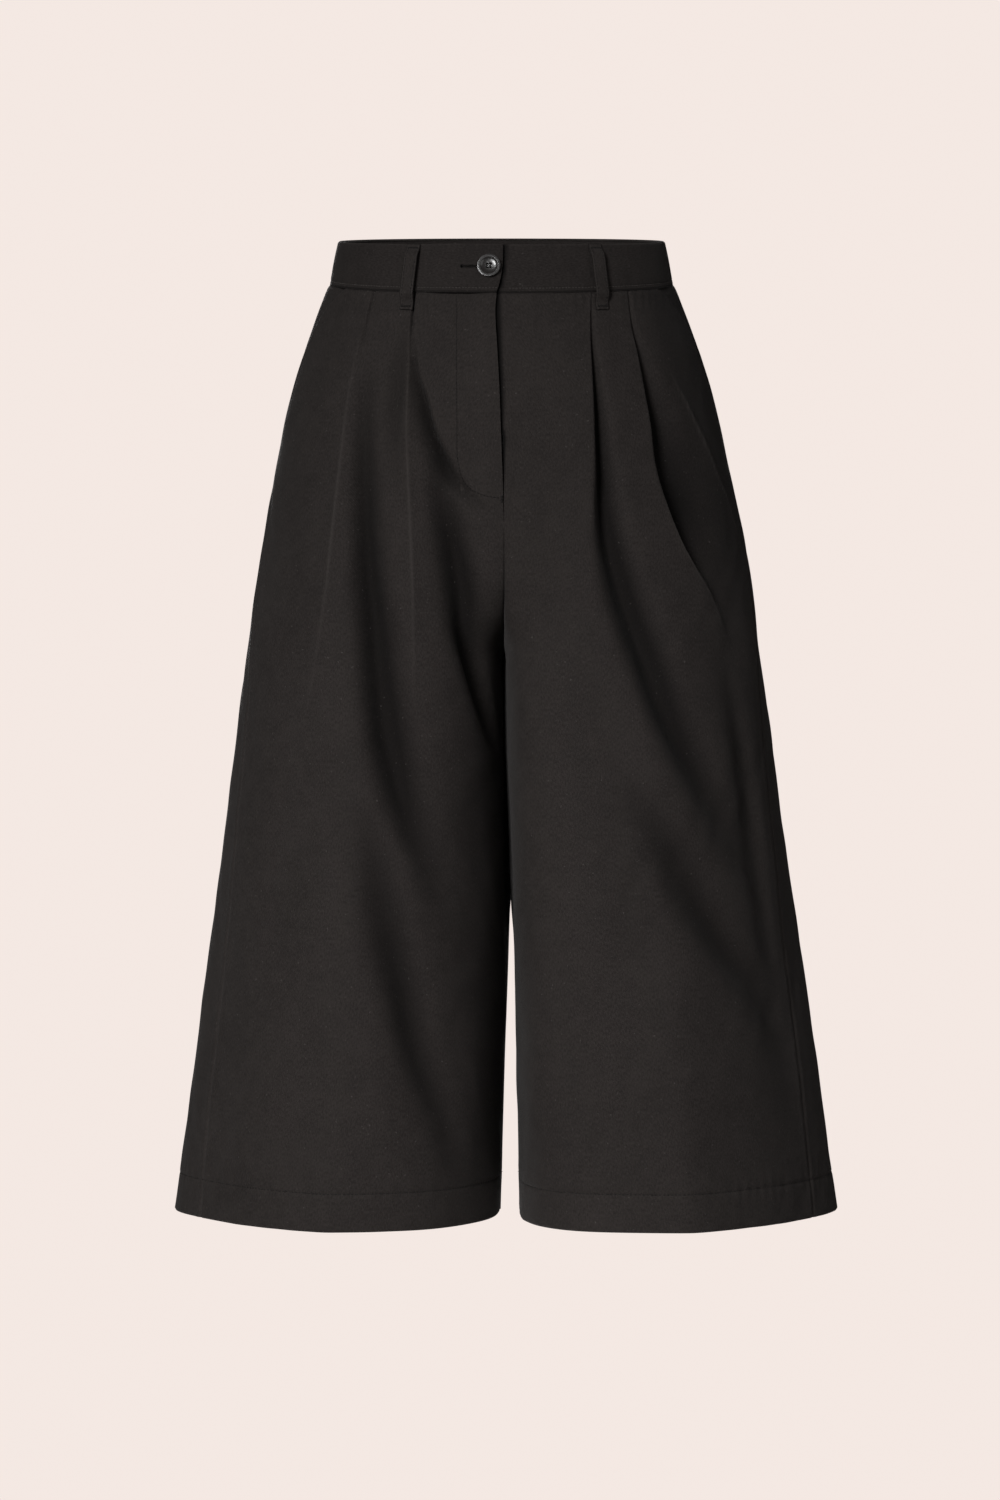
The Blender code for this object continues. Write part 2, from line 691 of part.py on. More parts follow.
def button_frame():
    """Origin on the band's outer face at the button, Z out of the cloth, X along the band."""
    drop = -BAND_HEIGHT / 2 - BUTTON_RISE
    step = BUTTON_DIAMETER / 4
    ring = Ring(RIGHT, drop)
    above = Ring(RIGHT, drop - step)
    arc = ring.arc_of_x(BUTTON_X)
    origin = ring.point(arc, BAND_LAP_LIFT)
    along = ring.point(arc - step, BAND_LAP_LIFT) - origin
    up = above.point(above.arc_of_x(BUTTON_X), BAND_LAP_LIFT) - origin
    out = along.cross(up).normalized()
    if out.y > 0:
        out.negate()
    along = (along - out * along.dot(out)).normalized()
    up = out.cross(along)
    frame = Matrix((along, up, out)).transposed().to_4x4()
    frame.translation = origin
    return frame


def link(obj, collection):
    for owner in list(obj.users_collection):
        owner.objects.unlink(obj)
    collection.objects.link(obj)


def add_cylinder(name, radius, depth, frame, place, collection):
    bpy.ops.mesh.primitive_cylinder_add(vertices=12, radius=radius, depth=depth)
    cylinder = bpy.context.object
    cylinder.name = name
    cylinder.matrix_world = frame @ Matrix.Translation(place)
    link(cylinder, collection)
    return cylinder


def cut(target, cutter):
    cutter.hide_render = True
    cutter.display_type = "WIRE"
    boolean = target.modifiers.new(cutter.name, "BOOLEAN")
    boolean.operation = "DIFFERENCE"
    boolean.solver = "EXACT"
    boolean.object = cutter


def make_button(frame, material):
    """A turned button with a rim, a dished middle and four holes."""
    radius = BUTTON_DIAMETER / 2
    back = GAP
    top = back + BUTTON_THICKNESS
    profile = (
        (0.0, top - 0.0011),
        (radius * 0.45, top - 0.0010),
        (radius * 0.66, top - 0.0005),
        (radius * 0.76, top),
        (radius * 0.90, top - 0.0001),
        (radius, top - 0.0009),
        (radius * 0.97, top - 0.0019),
        (radius * 0.80, back),
        (0.0, back),
    )
    mesh = bpy.data.meshes.new("button")
    edges = [(i, i + 1) for i in range(len(profile) - 1)]
    mesh.from_pydata([(x, 0.0, z) for x, z in profile], edges, [])
    button = bpy.data.objects.new("button", mesh)
    COLLECTION.objects.link(button)
    button.matrix_world = frame
    screw = button.modifiers.new("turning", "SCREW")
    screw.steps = BUTTON_STEPS
    screw.render_steps = BUTTON_STEPS
    screw.use_merge_vertices = True
    screw.merge_threshold = 0.00001
    for number in range(4):
        turn = math.radians(45 + 90 * number)
        place = Vector((math.cos(turn), math.sin(turn), 0.0)) * BUTTON_HOLE_CIRCLE
        name = f"button_hole_cutter_{number + 1}"
        cut(button, add_cylinder(name, BUTTON_HOLE_RADIUS, CUT_DEPTH, frame, place, CUTTERS))
    mesh.materials.append(material)


def cut_buttonhole(band, frame):
    """A slot in the band's lapped end, with a round end for the button's thread."""
    bpy.ops.mesh.primitive_cube_add(size=1.0)
    slot = bpy.context.object
    slot.name = "buttonhole_cutter"
    scale = Matrix.Diagonal((BUTTONHOLE_LENGTH, BUTTONHOLE_WIDTH, CUT_DEPTH, 1.0))
    slot.data.transform(scale)
    middle = Vector((-BUTTONHOLE_LENGTH / 2, 0.0, 0.0))
    slot.matrix_world = frame @ Matrix.Translation(middle)
    link(slot, CUTTERS)
    cut(band, slot)
    radius = SHANK_DIAMETER / 2 + SHANK_CLEAR
    cut(band, add_cylinder("buttonhole_eye_cutter", radius, CUT_DEPTH, frame, Vector(), CUTTERS))


def make_shank(frame, material):
    """The thread that stands from the underlap through the buttonhole to the button."""
    place = Vector((0.0, 0.0, -BAND_WALL / 2))
    radius = SHANK_DIAMETER / 2
    shank = add_cylinder("button_thread", radius, BAND_WALL, frame, place, COLLECTION)
    shank.data.materials.append(material)


def make_material(name):
    finish = MATERIALS[name]
    material = bpy.data.materials.new(name)
    material.use_nodes = True
    shader = material.node_tree.nodes["Principled BSDF"]
    shader.inputs["Base Color"].default_value = (*finish.color, 1.0)
    shader.inputs["Roughness"].default_value = finish.roughness
    shader.inputs["Metallic"].default_value = finish.metallic
    return material


def new_collection(name):
    collection = bpy.data.collections.new(name)
    bpy.context.scene.collection.children.link(collection)
    return collection


for old in list(bpy.data.objects):
    bpy.data.objects.remove(old, do_unlink=True)
COLLECTION = new_collection("pleated culottes")
CUTTERS = new_collection("cutters")
CUTTERS.hide_render = True

twill = make_material("black twill")
lining = make_material("black lining")
resin = make_material("black resin")
thread = make_material("black thread")

for leg in (RIGHT, LEFT):
    make_front(leg, twill)
    make_back(leg, twill)
    make_pocket_facing(leg, twill)
    make_pocket_bag(leg, lining)
    make_loop("belt_loop_front_" + SIDE_NAMES[leg], leg, FRONT_LOOP_X[leg], False, twill)
    make_loop("belt_loop_back_" + SIDE_NAMES[leg], leg, BACK_LOOP_X, True, twill)
make_centre_loop("belt_loop_back_centre", twill)

right_band = make_band(RIGHT, twill)
make_band(LEFT, twill)
make_fly_strip("zip_tape", ZIP_REACH, ZIP_SINK, ZIP_WALL, lining)
make_fly_strip("fly_shield", SHIELD_REACH, SHIELD_SINK, CLOTH, twill)

fastening = button_frame()
cut_buttonhole(right_band, fastening)
make_button(fastening, resin)
make_shank(fastening, thread)
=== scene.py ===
import math

import bpy
import numpy as np
from mathutils import Matrix, Vector


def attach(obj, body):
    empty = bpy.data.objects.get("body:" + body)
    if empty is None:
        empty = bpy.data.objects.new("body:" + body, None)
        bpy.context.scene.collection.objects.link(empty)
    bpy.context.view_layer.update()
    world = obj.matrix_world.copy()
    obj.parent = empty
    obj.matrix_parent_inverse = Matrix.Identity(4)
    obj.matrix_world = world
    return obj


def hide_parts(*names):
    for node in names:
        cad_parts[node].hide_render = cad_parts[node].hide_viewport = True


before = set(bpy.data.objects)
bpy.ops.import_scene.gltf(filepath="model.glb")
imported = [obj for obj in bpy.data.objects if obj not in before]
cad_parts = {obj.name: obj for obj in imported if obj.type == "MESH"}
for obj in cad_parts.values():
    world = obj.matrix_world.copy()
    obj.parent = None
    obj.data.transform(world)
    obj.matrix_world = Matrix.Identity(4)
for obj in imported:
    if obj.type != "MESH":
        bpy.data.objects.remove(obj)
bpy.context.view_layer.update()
print("frame loaded:", len(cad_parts), "CAD nodes")

# X runs to the wearer's left, Y to the back, Z up, from the centre of the waistband.
# "Drop" is the distance down from the waist seam, "arc" the distance along a level ring
# from the centre front (or the inseam) round the outside to the centre back. All in metres,
# but for the tables that are turned from millimetres into metres as they are read.
left, right = 1, -1
sideNames = {left: "left", right: "right"}


def metres(rows):
    return [[value / 1000 for value in row] for row in rows]


# Shader nodes


def setInputs(tree, node, inputs):
    # each input is a link from another node, a colour or a plain value
    for label, value in inputs.items():
        socket = node.inputs[label]
        if isinstance(value, bpy.types.NodeSocket):
            tree.links.new(value, socket)
        else:
            socket.default_value = (*value, 1) if socket.type == "RGBA" else value


def addNode(tree, kind, inputs=(), **settings):
    node = tree.nodes.new("ShaderNode" + kind)
    for label, value in settings.items():
        setattr(node, label, value)
    setInputs(tree, node, dict(inputs))
    return node


def addMath(tree, operation, *values):
    return addNode(tree, "Math", enumerate(values), operation=operation).outputs[0]


def addMap(tree, value, low, high, toLow=0.0, toHigh=1.0, **settings):
    inputs = {"Value": value, "From Min": low, "From Max": high, "To Min": toLow, "To Max": toHigh}
    return addNode(tree, "MapRange", inputs, **settings).outputs[0]


def addNoise(tree, vector, scale, detail=2.0, roughness=0.5):
    inputs = {"Vector": vector, "Scale": scale, "Detail": detail, "Roughness": roughness}
    return addNode(tree, "TexNoise", inputs).outputs["Fac"]


def addBump(tree, shader, height, strength, distance):
    bump = addNode(tree, "Bump", {"Strength": strength, "Distance": distance, "Height": height})
    tree.links.new(bump.outputs[0], shader.inputs["Normal"])


def mixColours(tree, factor, first, second):
    return addNode(tree, "Mix", {0: factor, 6: first, 7: second}, data_type="RGBA").outputs[2]


def objectPlace(tree):
    return addNode(tree, "TexCoord").outputs["Object"]


def newFinish(name):
    finish = bpy.data.materials.new(name)
    finish.use_nodes = True
    return finish, finish.node_tree, finish.node_tree.nodes["Principled BSDF"]


def newGroup(name, numbers, results):
    # a shared effect: a vector and some numbers with defaults go in, numbers come out
    group = bpy.data.node_groups.new(name, "ShaderNodeTree")
    group.interface.new_socket("Vector", in_out="INPUT", socket_type="NodeSocketVector")
    for label, value in numbers.items():
        socket = group.interface.new_socket(label, in_out="INPUT", socket_type="NodeSocketFloat")
        socket.default_value = value
    for label in results:
        group.interface.new_socket(label, in_out="OUTPUT", socket_type="NodeSocketFloat")
    return group, group.nodes.new("NodeGroupInput").outputs, group.nodes.new("NodeGroupOutput")


# Camera, lights and floor

studio = {
    "cameraPlace": (-0.0024, -3.0, -0.388), "lens": 90, "aim": (0.02, 0.0, -0.80),
    "backdrop": (0.905, 0.811, 0.767),  # what the camera sees behind the object
    "roomColour": (1.0, 0.95, 0.92), "roomLight": 0.085,  # what lights the cloth from all round
    "lights": {
        "keyLight": {"place": (-1.5, -3.5, 0.80), "size": 1.3, "power": 14.8, "spread": 48},
        "fillLight": {"place": (2.2, -2.2, 0.2), "size": 2.2, "power": 15, "spread": 180},
        "backLight": {"place": (-0.15, 3.2, 0.5), "size": 1.6, "power": 120, "spread": 180},
    },
    "floorZ": -1.20, "floorRadius": 1.0, "floorColour": (0.80, 0.75, 0.72),
    "floorRoughness": 0.9, "floorFade": (0.35, 0.98),  # shares of its radius
}


def addAreaLight(name, values):
    bpy.ops.object.light_add(type="AREA", location=values["place"])
    lamp = bpy.context.object
    lamp.name = name
    lamp.data.size = values["size"]
    lamp.data.energy = values["power"]
    lamp.data.spread = math.radians(values["spread"])
    away = Vector(values["place"]) - Vector(studio["aim"])
    lamp.rotation_euler = away.to_track_quat("Z", "Y").to_euler()


def setUpStudio():
    scene = bpy.context.scene
    scene.view_settings.view_transform = "Standard"
    bpy.ops.object.camera_add(location=studio["cameraPlace"], rotation=(math.radians(90), 0, 0))
    scene.camera = bpy.context.object
    scene.camera.data.lens = studio["lens"]
    for name, values in studio["lights"].items():
        addAreaLight(name, values)

    scene.world = bpy.data.worlds.new("paleRoom")
    scene.world.use_nodes = True
    tree = scene.world.node_tree
    tree.nodes.clear()
    seen = addNode(tree, "Background", {"Color": studio["backdrop"]})
    lit = addNode(tree, "Background", {"Color": studio["roomColour"], "Strength": studio["roomLight"]})
    toCamera = addNode(tree, "LightPath").outputs["Is Camera Ray"]
    mixed = addNode(tree, "MixShader", {"Fac": toCamera, 1: lit.outputs[0], 2: seen.outputs[0]})
    addNode(tree, "OutputWorld", {"Surface": mixed.outputs[0]})

    # a round pale floor that fades out at its rim
    bpy.ops.mesh.primitive_circle_add(
        vertices=96, radius=studio["floorRadius"], fill_type="NGON",
        location=(0, 0, studio["floorZ"]))
    floor = bpy.context.object
    floor.name = "floor"
    finish, tree, shader = newFinish("paleFloor")
    reach = addNode(tree, "VectorMath", {0: objectPlace(tree)}, operation="LENGTH").outputs["Value"]
    start, end = (share * studio["floorRadius"] for share in studio["floorFade"])
    fade = addMap(tree, reach, start, end, 1.0, 0.0, interpolation_type="SMOOTHERSTEP")
    setInputs(tree, shader, {"Base Color": studio["floorColour"],
                             "Roughness": studio["floorRoughness"], "Alpha": fade})
    floor.data.materials.append(finish)


setUpStudio()
print("studio ready")

# Shared effects and finishes


def makeTwillWeave():
    # slanted ribs crossed by finer yarns, with thicker places (slubs) in the yarns
    tree, start, end = newGroup("twillWeave", {"Ribs": 1100.0, "Slant": 63.0, "Uneven": 0.5},
                                ("Height", "Tone"))
    split = addNode(tree, "SeparateXYZ", {0: start["Vector"]}).outputs
    slope = addMath(tree, "TANGENT", addMath(tree, "RADIANS", start["Slant"]))
    across = addMath(tree, "ADD", split["X"], addMath(tree, "DIVIDE", split["Y"], slope))
    wobble = addNoise(tree, start["Vector"], 160, 1.0)
    turns = addMath(tree, "ADD", addMath(tree, "MULTIPLY", across, start["Ribs"]),
                    addMath(tree, "MULTIPLY", wobble, start["Uneven"]))
    ribs = addMath(tree, "SINE", addMath(tree, "MULTIPLY", turns, 2 * math.pi))
    yarnTurns = addMath(tree, "MULTIPLY", split["X"], start["Ribs"])
    yarns = addMath(tree, "SINE", addMath(tree, "MULTIPLY", yarnTurns, 4 * math.pi))
    height = addMath(tree, "MULTIPLY_ADD", ribs, 0.36,
                     addMath(tree, "MULTIPLY_ADD", yarns, 0.12, 0.5))
    stretch = addNode(tree, "Mapping", {"Vector": start["Vector"], "Scale": (900, 420, 1)})
    slub = addMath(tree, "SUBTRACT", addNoise(tree, stretch.outputs[0], 1), 0.5)
    tone = addMath(tree, "MULTIPLY_ADD", slub, 1.8, height)
    setInputs(tree, end, {"Height": height, "Tone": tone})
    return tree


def makeClothWearAndShine():
    # broad clouding of the dye, sparse lint, and the pale shine of edges, partly wear from pressing and
    # partly painted highlight
    tree, start, end = newGroup("clothWearAndShine", {"Cloud Scale": 14.0, "Lint": 0.5, "Shine": 0.0},
                                ("Cloud", "Lint", "Shine"))
    cloud = addNoise(tree, start["Vector"], start["Cloud Scale"], 3)
    mottle = addMath(tree, "SUBTRACT", addNoise(tree, start["Vector"], 85, 5, 0.72), 0.5)
    specks = addMap(tree, addNoise(tree, start["Vector"], 420), 0.70, 0.80)
    setInputs(tree, end, {
        "Cloud": addMath(tree, "MULTIPLY_ADD", mottle, 1.5, cloud),
        "Lint": addMath(tree, "MULTIPLY", specks, start["Lint"]),
        "Shine": addMath(tree, "MULTIPLY", start["Shine"],
                           addMath(tree, "MULTIPLY_ADD", cloud, 0.8, 0.5))})
    return tree


twillWeave = makeTwillWeave()
clothWearAndShine = makeClothWearAndShine()

clothFinishes = {
    # colours: the cloth's own dark and pale tones, the pale of edges (partly wear from pressing, partly
    # painted highlight), the near black of painted shade, and lint
    "blackTwill": {
        "dark": (0.0122, 0.0101, 0.0094), "pale": (0.0280, 0.0240, 0.0225),
        "shineAndShade": (0.038, 0.0332, 0.0312), "paintedShade": (0.0014, 0.0011, 0.0010),
        "lint": (0.11, 0.10, 0.095), "lintAmount": 0.35,
        "ribs": 1100.0, "slant": 63.0, "bump": 0.55, "bumpHeight": 0.00022,
        "roughness": (0.78, 0.92), "sheen": 0.03},
    "blackLining": {
        "dark": (0.0120, 0.0115, 0.0115), "pale": (0.020, 0.019, 0.019),
        "shineAndShade": (0.026, 0.025, 0.025), "paintedShade": (0.004, 0.004, 0.004),
        "lint": (0.07, 0.07, 0.07), "lintAmount": 0.15,
        "ribs": 1900.0, "slant": 89.0, "bump": 0.3, "bumpHeight": 0.00012,
        "roughness": (0.50, 0.68), "sheen": 0.03},
}


def makeClothFinish(name):
    values = clothFinishes[name]
    finish, tree, shader = newFinish(name)
    # the attribute is 1 on an edge or crease top, where its pale is partly wear from pressing and partly
    # painted highlight, and -1 deep in a fold and in other shaded places, where it is painted shade
    edges = addNode(tree, "Attribute", attribute_name="shineAndShade").outputs["Fac"]
    weave = addNode(tree, "Group", node_tree=twillWeave)
    setInputs(tree, weave, {"Vector": addNode(tree, "UVMap", uv_map="clothUV").outputs[0],
                            "Ribs": values["ribs"], "Slant": values["slant"]})
    wearAndShine = addNode(tree, "Group", node_tree=clothWearAndShine)
    setInputs(tree, wearAndShine, {"Vector": objectPlace(tree), "Lint": values["lintAmount"],
                           "Shine": addMap(tree, edges, 0, 1)})
    cloud, lint, shineAndShade = (wearAndShine.outputs[label] for label in ("Cloud", "Lint", "Shine"))
    tone = addMap(tree, addMath(tree, "MULTIPLY_ADD", cloud, 0.7, weave.outputs["Tone"]), 0.35, 1.35)
    colour = mixColours(tree, tone, values["dark"], values["pale"])
    # mixes in the pale of edges with painted highlight, then the painted shade, then lint
    for share, key in ((shineAndShade, "shineAndShade"), (addMap(tree, edges, 0, -1), "paintedShade"), (lint, "lint")):
        colour = mixColours(tree, share, colour, values[key])
    worn = addMath(tree, "SUBTRACT", cloud, addMath(tree, "MULTIPLY", shineAndShade, 0.5))
    setInputs(tree, shader, {
        "Base Color": colour, "Roughness": addMap(tree, worn, 0.2, 0.8, *values["roughness"]),
        "Sheen Weight": values["sheen"], "Sheen Roughness": 0.45, "Specular IOR Level": 0.10})
    addBump(tree, shader, weave.outputs["Height"], values["bump"], values["bumpHeight"])
    return finish


threadFinishes = {
    "blackThread": {"dark": (0.0022, 0.0019, 0.0018), "pale": (0.0110, 0.0095, 0.0090)},
    # the same black thread with a painted highlight, so the waist seam's stitches show as a row of paler
    # dots
    "waistThreadPaintedHighlight": {"dark": (0.0230, 0.0200, 0.0186), "pale": (0.0540, 0.0480, 0.0450)},
}


def makeThreadFinish(name):
    # twisted yarn: slanted plies across each stitch, a little glossier than the cloth
    values = threadFinishes[name]
    finish, tree, shader = newFinish(name)
    plies = addNode(tree, "TexWave", bands_direction="DIAGONAL")
    setInputs(tree, plies, {"Scale": 500, "Distortion": 1.5, "Vector": objectPlace(tree)})
    ply = plies.outputs["Fac"]
    setInputs(tree, shader, {
        "Base Color": mixColours(tree, ply, values["dark"], values["pale"]),
        "Roughness": addMap(tree, ply, 0, 1, 0.62, 0.78), "Specular IOR Level": 0.18})
    addBump(tree, shader, ply, 0.4, 0.0001)
    return finish


def makeResinFinish():
    # polished resin with faint clouds in it and fine scratches
    finish, tree, shader = newFinish("blackResin")
    clouds = addNoise(tree, objectPlace(tree), 260, 3)
    scratches = addNoise(tree, objectPlace(tree), 2400)
    setInputs(tree, shader, {
        "Base Color": mixColours(tree, clouds, (0.006, 0.0054, 0.0052), (0.022, 0.020, 0.019)),
        "Roughness": addMap(tree, scratches, 0.3, 0.7, 0.24, 0.34),
        "Coat Weight": 0.35, "Coat Roughness": 0.22})
    addBump(tree, shader, scratches, 0.15, 0.00005)
    return finish


blackTwill = makeClothFinish("blackTwill")
blackLining = makeClothFinish("blackLining")
blackThread = makeThreadFinish("blackThread")
waistThreadPaintedHighlight = makeThreadFinish("waistThreadPaintedHighlight")
blackResin = makeResinFinish()
slotNames = {blackTwill: "black_twill", blackLining: "black_lining"}
print("finishes ready")

# The rings that all the cloth lies on

garment = {
    "length": 0.736, "crotch": 0.290, "hem": 0.030, "cloth": 0.0012, "gap": 0.0003,
    "waistSeamZ": -0.019, "waistTilt": 0.16, "bandHeight": 0.038, "bandLean": 0.0065,
    # how the waist seam curves up towards the sides, and over which drops that fades
    "seamRise": 0.0044, "seamCurve": 0.036, "seamFade": (0.0, 0.060),
    "sectionPower": 2.2, "forkPower": 6,
    # the slow wave of the inner legs, and over which drops it comes and goes
    "innerWave": 0.0032, "innerWaveDepth": 0.022, "innerWaveDrops": (0.290, 0.294, 0.44, 0.54),
    # drop, half width, depth at mid leg in front and behind, sway, dividing line,
    # half gap between the legs
    "outline": metres((
        (0, 137, 85, 86, -1.2, 0, 0.3), (3, 138.4, 85.6, 87, -1.2, 0, 0.3),
        (10, 141.5, 87, 89.2, -1.2, 0, 0.3), (20, 145.8, 89.2, 92.6, -1.2, 0, 0.3),
        (35, 152, 92.8, 97.2, -1, 0, 0.3), (50, 158, 95.8, 101.6, -0.9, 0, 0.3),
        (83, 167.6, 101.2, 112, -0.8, 0, 0.3), (131, 178, 108.5, 121.8, -0.1, 0.4, 0.3),
        (227, 196.2, 120, 130.5, 0.5, 1, 0.3), (323, 209, 131, 137.5, 0.6, 2, 0.4),
        (491, 231, 142, 142, 1.2, 6.5, 1.4), (620, 249.6, 146, 144, 2.2, 6.2, 4.8),
        (736, 265.1, 150, 146, 2.4, 5.6, 7.4)
    )),
    # drop and how round the outer side of each leg is: 2 is an ellipse, less is flatter
    "sidePower": ((0.000, 2.2), (0.180, 2.2), (0.330, 1.95), (0.450, 1.70), (0.620, 1.52),
                  (0.736, 1.42)),
    # over which drops the outer side turns from the hip's shape to the leg's
    "legShape": (0.060, 0.560),
    # drop and how square the inner front corner of each leg is: 2 is round
    "cornerPower": {
        left: ((0.000, 2.2), (0.170, 2.2), (0.250, 3.4), (0.300, 5.0), (0.500, 5.0), (0.736, 3.6)),
        right: ((0.000, 2.2), (0.170, 2.2), (0.240, 2.9), (0.310, 2.7), (0.450, 2.25), (0.736, 2.3))},
    # drop and degrees in front of the widest point
    "sideSeam": ((0.000, -9.0), (0.120, -3.0), (0.200, 7.0), (0.300, 20.0), (0.450, 26.0),
                 (0.736, 30.0)),
    # how finely a ring is worked out, and how its squarer corner is rounded
    "ringPoints": 721, "wallPoints": 40, "cornerPoints": 15, "cornerReach": 160,
}
hemZ = garment["waistSeamZ"] - garment["length"]


def readRows(rows, column, drop):
    # a smooth curve through one column of a table
    places = [row[0] for row in rows]
    values = [row[column] for row in rows]
    if drop <= places[0]:
        return values[0]
    if drop >= places[-1]:
        return values[-1]
    index = next(i for i in range(len(places) - 1) if drop <= places[i + 1])
    slopes = []
    for i in (index, index + 1):
        low, high = max(i - 1, 0), min(i + 1, len(places) - 1)
        slopes.append((values[high] - values[low]) / (places[high] - places[low]))
    span = places[index + 1] - places[index]
    t = (drop - places[index]) / span
    start = (2 * t**3 - 3 * t**2 + 1) * values[index] + (t**3 - 2 * t**2 + t) * span * slopes[0]
    end = (3 * t**2 - 2 * t**3) * values[index + 1] + (t**3 - t**2) * span * slopes[1]
    return start + end


def ease(value, start, end):
    t = np.clip((value - start) / (end - start), 0.0, 1.0)
    return t * t * (3 - 2 * t)


def bell(away, width, power=2):
    return np.exp(-((away / width) ** power))


def mix(first, second, share):
    return first + (second - first) * share


def signedPower(value, exponent):
    return np.sign(value) * np.abs(value) ** exponent


def sectionDepth(x, reach, halfGap, state, corner, sidePower):
    # how deep a level cut is at x, next to its depth at mid leg: state 0 is one waist, 1 is a leg
    width = (reach - halfGap) / (1 + state)

    def height(at):
        local = np.clip((at - reach + width) / width, -1, 1)
        powers = np.where(local >= 0, sidePower, corner)
        return (1 - np.abs(local) ** powers) ** (1 / powers)

    return height(x) / height(reach / 2)


def squareCorner(x, y, angles, seamY):
    # a squarer leg starts with a wall from where the rounder one has its seam, then turns softly
    count, soft = garment["wallPoints"], garment["cornerPoints"]
    x = np.concatenate((np.full(count, x[0]), x))
    y = np.concatenate((np.linspace(seamY, y[0], count, endpoint=False), y))
    angles = np.concatenate((angles[0] + np.linspace(0.01, 0.0001, count), angles))
    window = np.hanning(2 * soft + 1)
    window /= window.sum()
    nearStart = bell(np.arange(len(x)), garment["cornerReach"], 4)
    nearStart[0] = 0
    x, y = (mix(values, np.convolve(np.pad(values, soft, "edge"), window, "valid"), nearStart)
            for values in (x, y))
    return x, y, angles


def makeRing(side, drop, underlap=0.0):
    down = max(drop, 0.0)
    lean = garment["bandLean"] * max(-drop, 0.0) / garment["bandHeight"]
    halfWidth, frontDepth, backDepth, sway, divide, halfGap = (
        readRows(garment["outline"], column, down) for column in range(1, 7))
    reach = halfWidth - lean + side * (sway - divide)
    frontDepth, backDepth = frontDepth - lean * 0.9, backDepth - lean * 0.9
    power = garment["sectionPower"]
    corner = readRows(garment["cornerPower"][side], 1, down)
    sidePower = readRows(garment["sidePower"], 1, down)
    forked = drop >= garment["crotch"]
    share = min(down / garment["crotch"], 1.0)
    fork = share ** garment["forkPower"] * (1 + garment["forkPower"] * (1 - share))
    halfGap = halfGap if forked else 0.0
    width = (reach - halfGap) / (1 + fork)
    centre = reach - width

    def angleAt(x, p):
        return math.acos(float(signedPower(np.clip((x - centre) / width, -1, 1), p / 2)))

    start = math.pi if forked else angleAt(-underlap, corner)
    back = math.pi if forked else angleAt(0.0, power)
    angles = np.linspace(start, -back, garment["ringPoints"])
    inFront = angles > 0
    corners = np.where(inFront, corner, power)
    powers = np.where(np.abs(angles) < math.pi / 2, sidePower, corners)
    x = centre + width * signedPower(np.cos(angles), 2 / powers)
    # the side keeps the hip's shape for longer than the inner edge does, so no step shows
    state = mix(fork, ease(drop, *garment["legShape"]), ease(x / reach, 0.12, 0.80))
    y = sectionDepth(x, reach, halfGap, state, corners, sidePower)
    y = np.where(inFront, -frontDepth, backDepth) * y
    if corner > power + 0.01:
        rounder = float(sectionDepth(0.0, reach, 0.0, fork, power, sidePower))
        x, y, angles = squareCorner(x, y, angles, 0.0 if forked else -frontDepth * rounder)
    comes, full, goes, gone = garment["innerWaveDrops"]
    hanging = ease(drop, comes, full) * (1 - ease(drop, goes, gone))
    wave = garment["innerWave"] * hanging * np.sin(
        np.clip(y / garment["innerWaveDepth"], -2, 2) * math.pi / 2)
    x = x + side * wave * np.clip(1 - (x - centre + width) / (0.5 * width), 0.0, 1.0)
    steps = np.maximum(np.hypot(np.diff(x), np.diff(y)), 1e-9)
    arc = np.concatenate(([0.0], np.cumsum(steps)))
    slopeX, slopeY = np.gradient(x, arc), np.gradient(y, arc)
    size = np.maximum(np.hypot(slopeX, slopeY), 1e-9)
    return {"side": side, "drop": drop, "divide": divide, "x": x, "y": y, "arc": arc,
            "length": arc[-1], "angles": angles, "outX": slopeY / size, "outY": -slopeX / size}


def arcOfAngle(ring, degrees):
    return float(np.interp(-math.radians(degrees), -ring["angles"], ring["arc"]))


def arcOfX(ring, x, back=False):
    widest = int(np.argmax(ring["x"]))
    part = slice(None, widest - 1, -1) if back else slice(widest + 1)
    return float(np.interp(x - ring["side"] * ring["divide"], ring["x"][part], ring["arc"][part]))


def sideSeamArc(ring):
    return arcOfAngle(ring, readRows(garment["sideSeam"], 1, max(ring["drop"], 0.0)))


def ringPoints(ring, arcs, lifts):
    # points of the garment's outer surface, moved out along the ring's normal
    drop = ring["drop"]
    x, y, outX, outY = (np.interp(arcs, ring["arc"], ring[key]) for key in ("x", "y", "outX", "outY"))
    waistZ = garment["waistSeamZ"] + garment["waistTilt"] * y
    if drop < 0:
        z, share = waistZ - drop, 1 + drop / garment["bandHeight"]
    else:
        z = hemZ + (waistZ - hemZ) * (1 - drop / garment["length"])
        share = 1 - ease(drop, *garment["seamFade"])
    z = z + share * (garment["seamRise"] + garment["seamCurve"] * np.minimum(y, 0.0))
    x, y = x + outX * lifts, y + outY * lifts
    return np.stack((ring["divide"] + ring["side"] * x, y, z), axis=-1)


# Sheets of cloth


def setActive(piece):
    bpy.ops.object.select_all(action="DESELECT")
    piece.select_set(True)
    bpy.context.view_layer.objects.active = piece


def applyModifier(piece, modifier):
    setActive(piece)
    bpy.ops.object.modifier_apply(modifier=modifier.name)


def claim(piece, slot, *nodes):
    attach(piece, "root")
    if nodes:
        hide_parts(*nodes)
    return piece


def clothRow(ring, arcs, lift, rowShineAndShade, across=None):
    # one row of a sheet: its points, their places on the flat cloth, and their shine and shade: above 0
    # the pale of edges, partly wear from pressing and partly painted highlight, below 0 painted shade
    across = arcs if across is None else across
    flat = np.stack((across, np.full_like(arcs, -ring["drop"])), axis=-1)
    return ringPoints(ring, arcs, lift), flat, np.clip(rowShineAndShade + np.zeros_like(arcs), -1, 1)


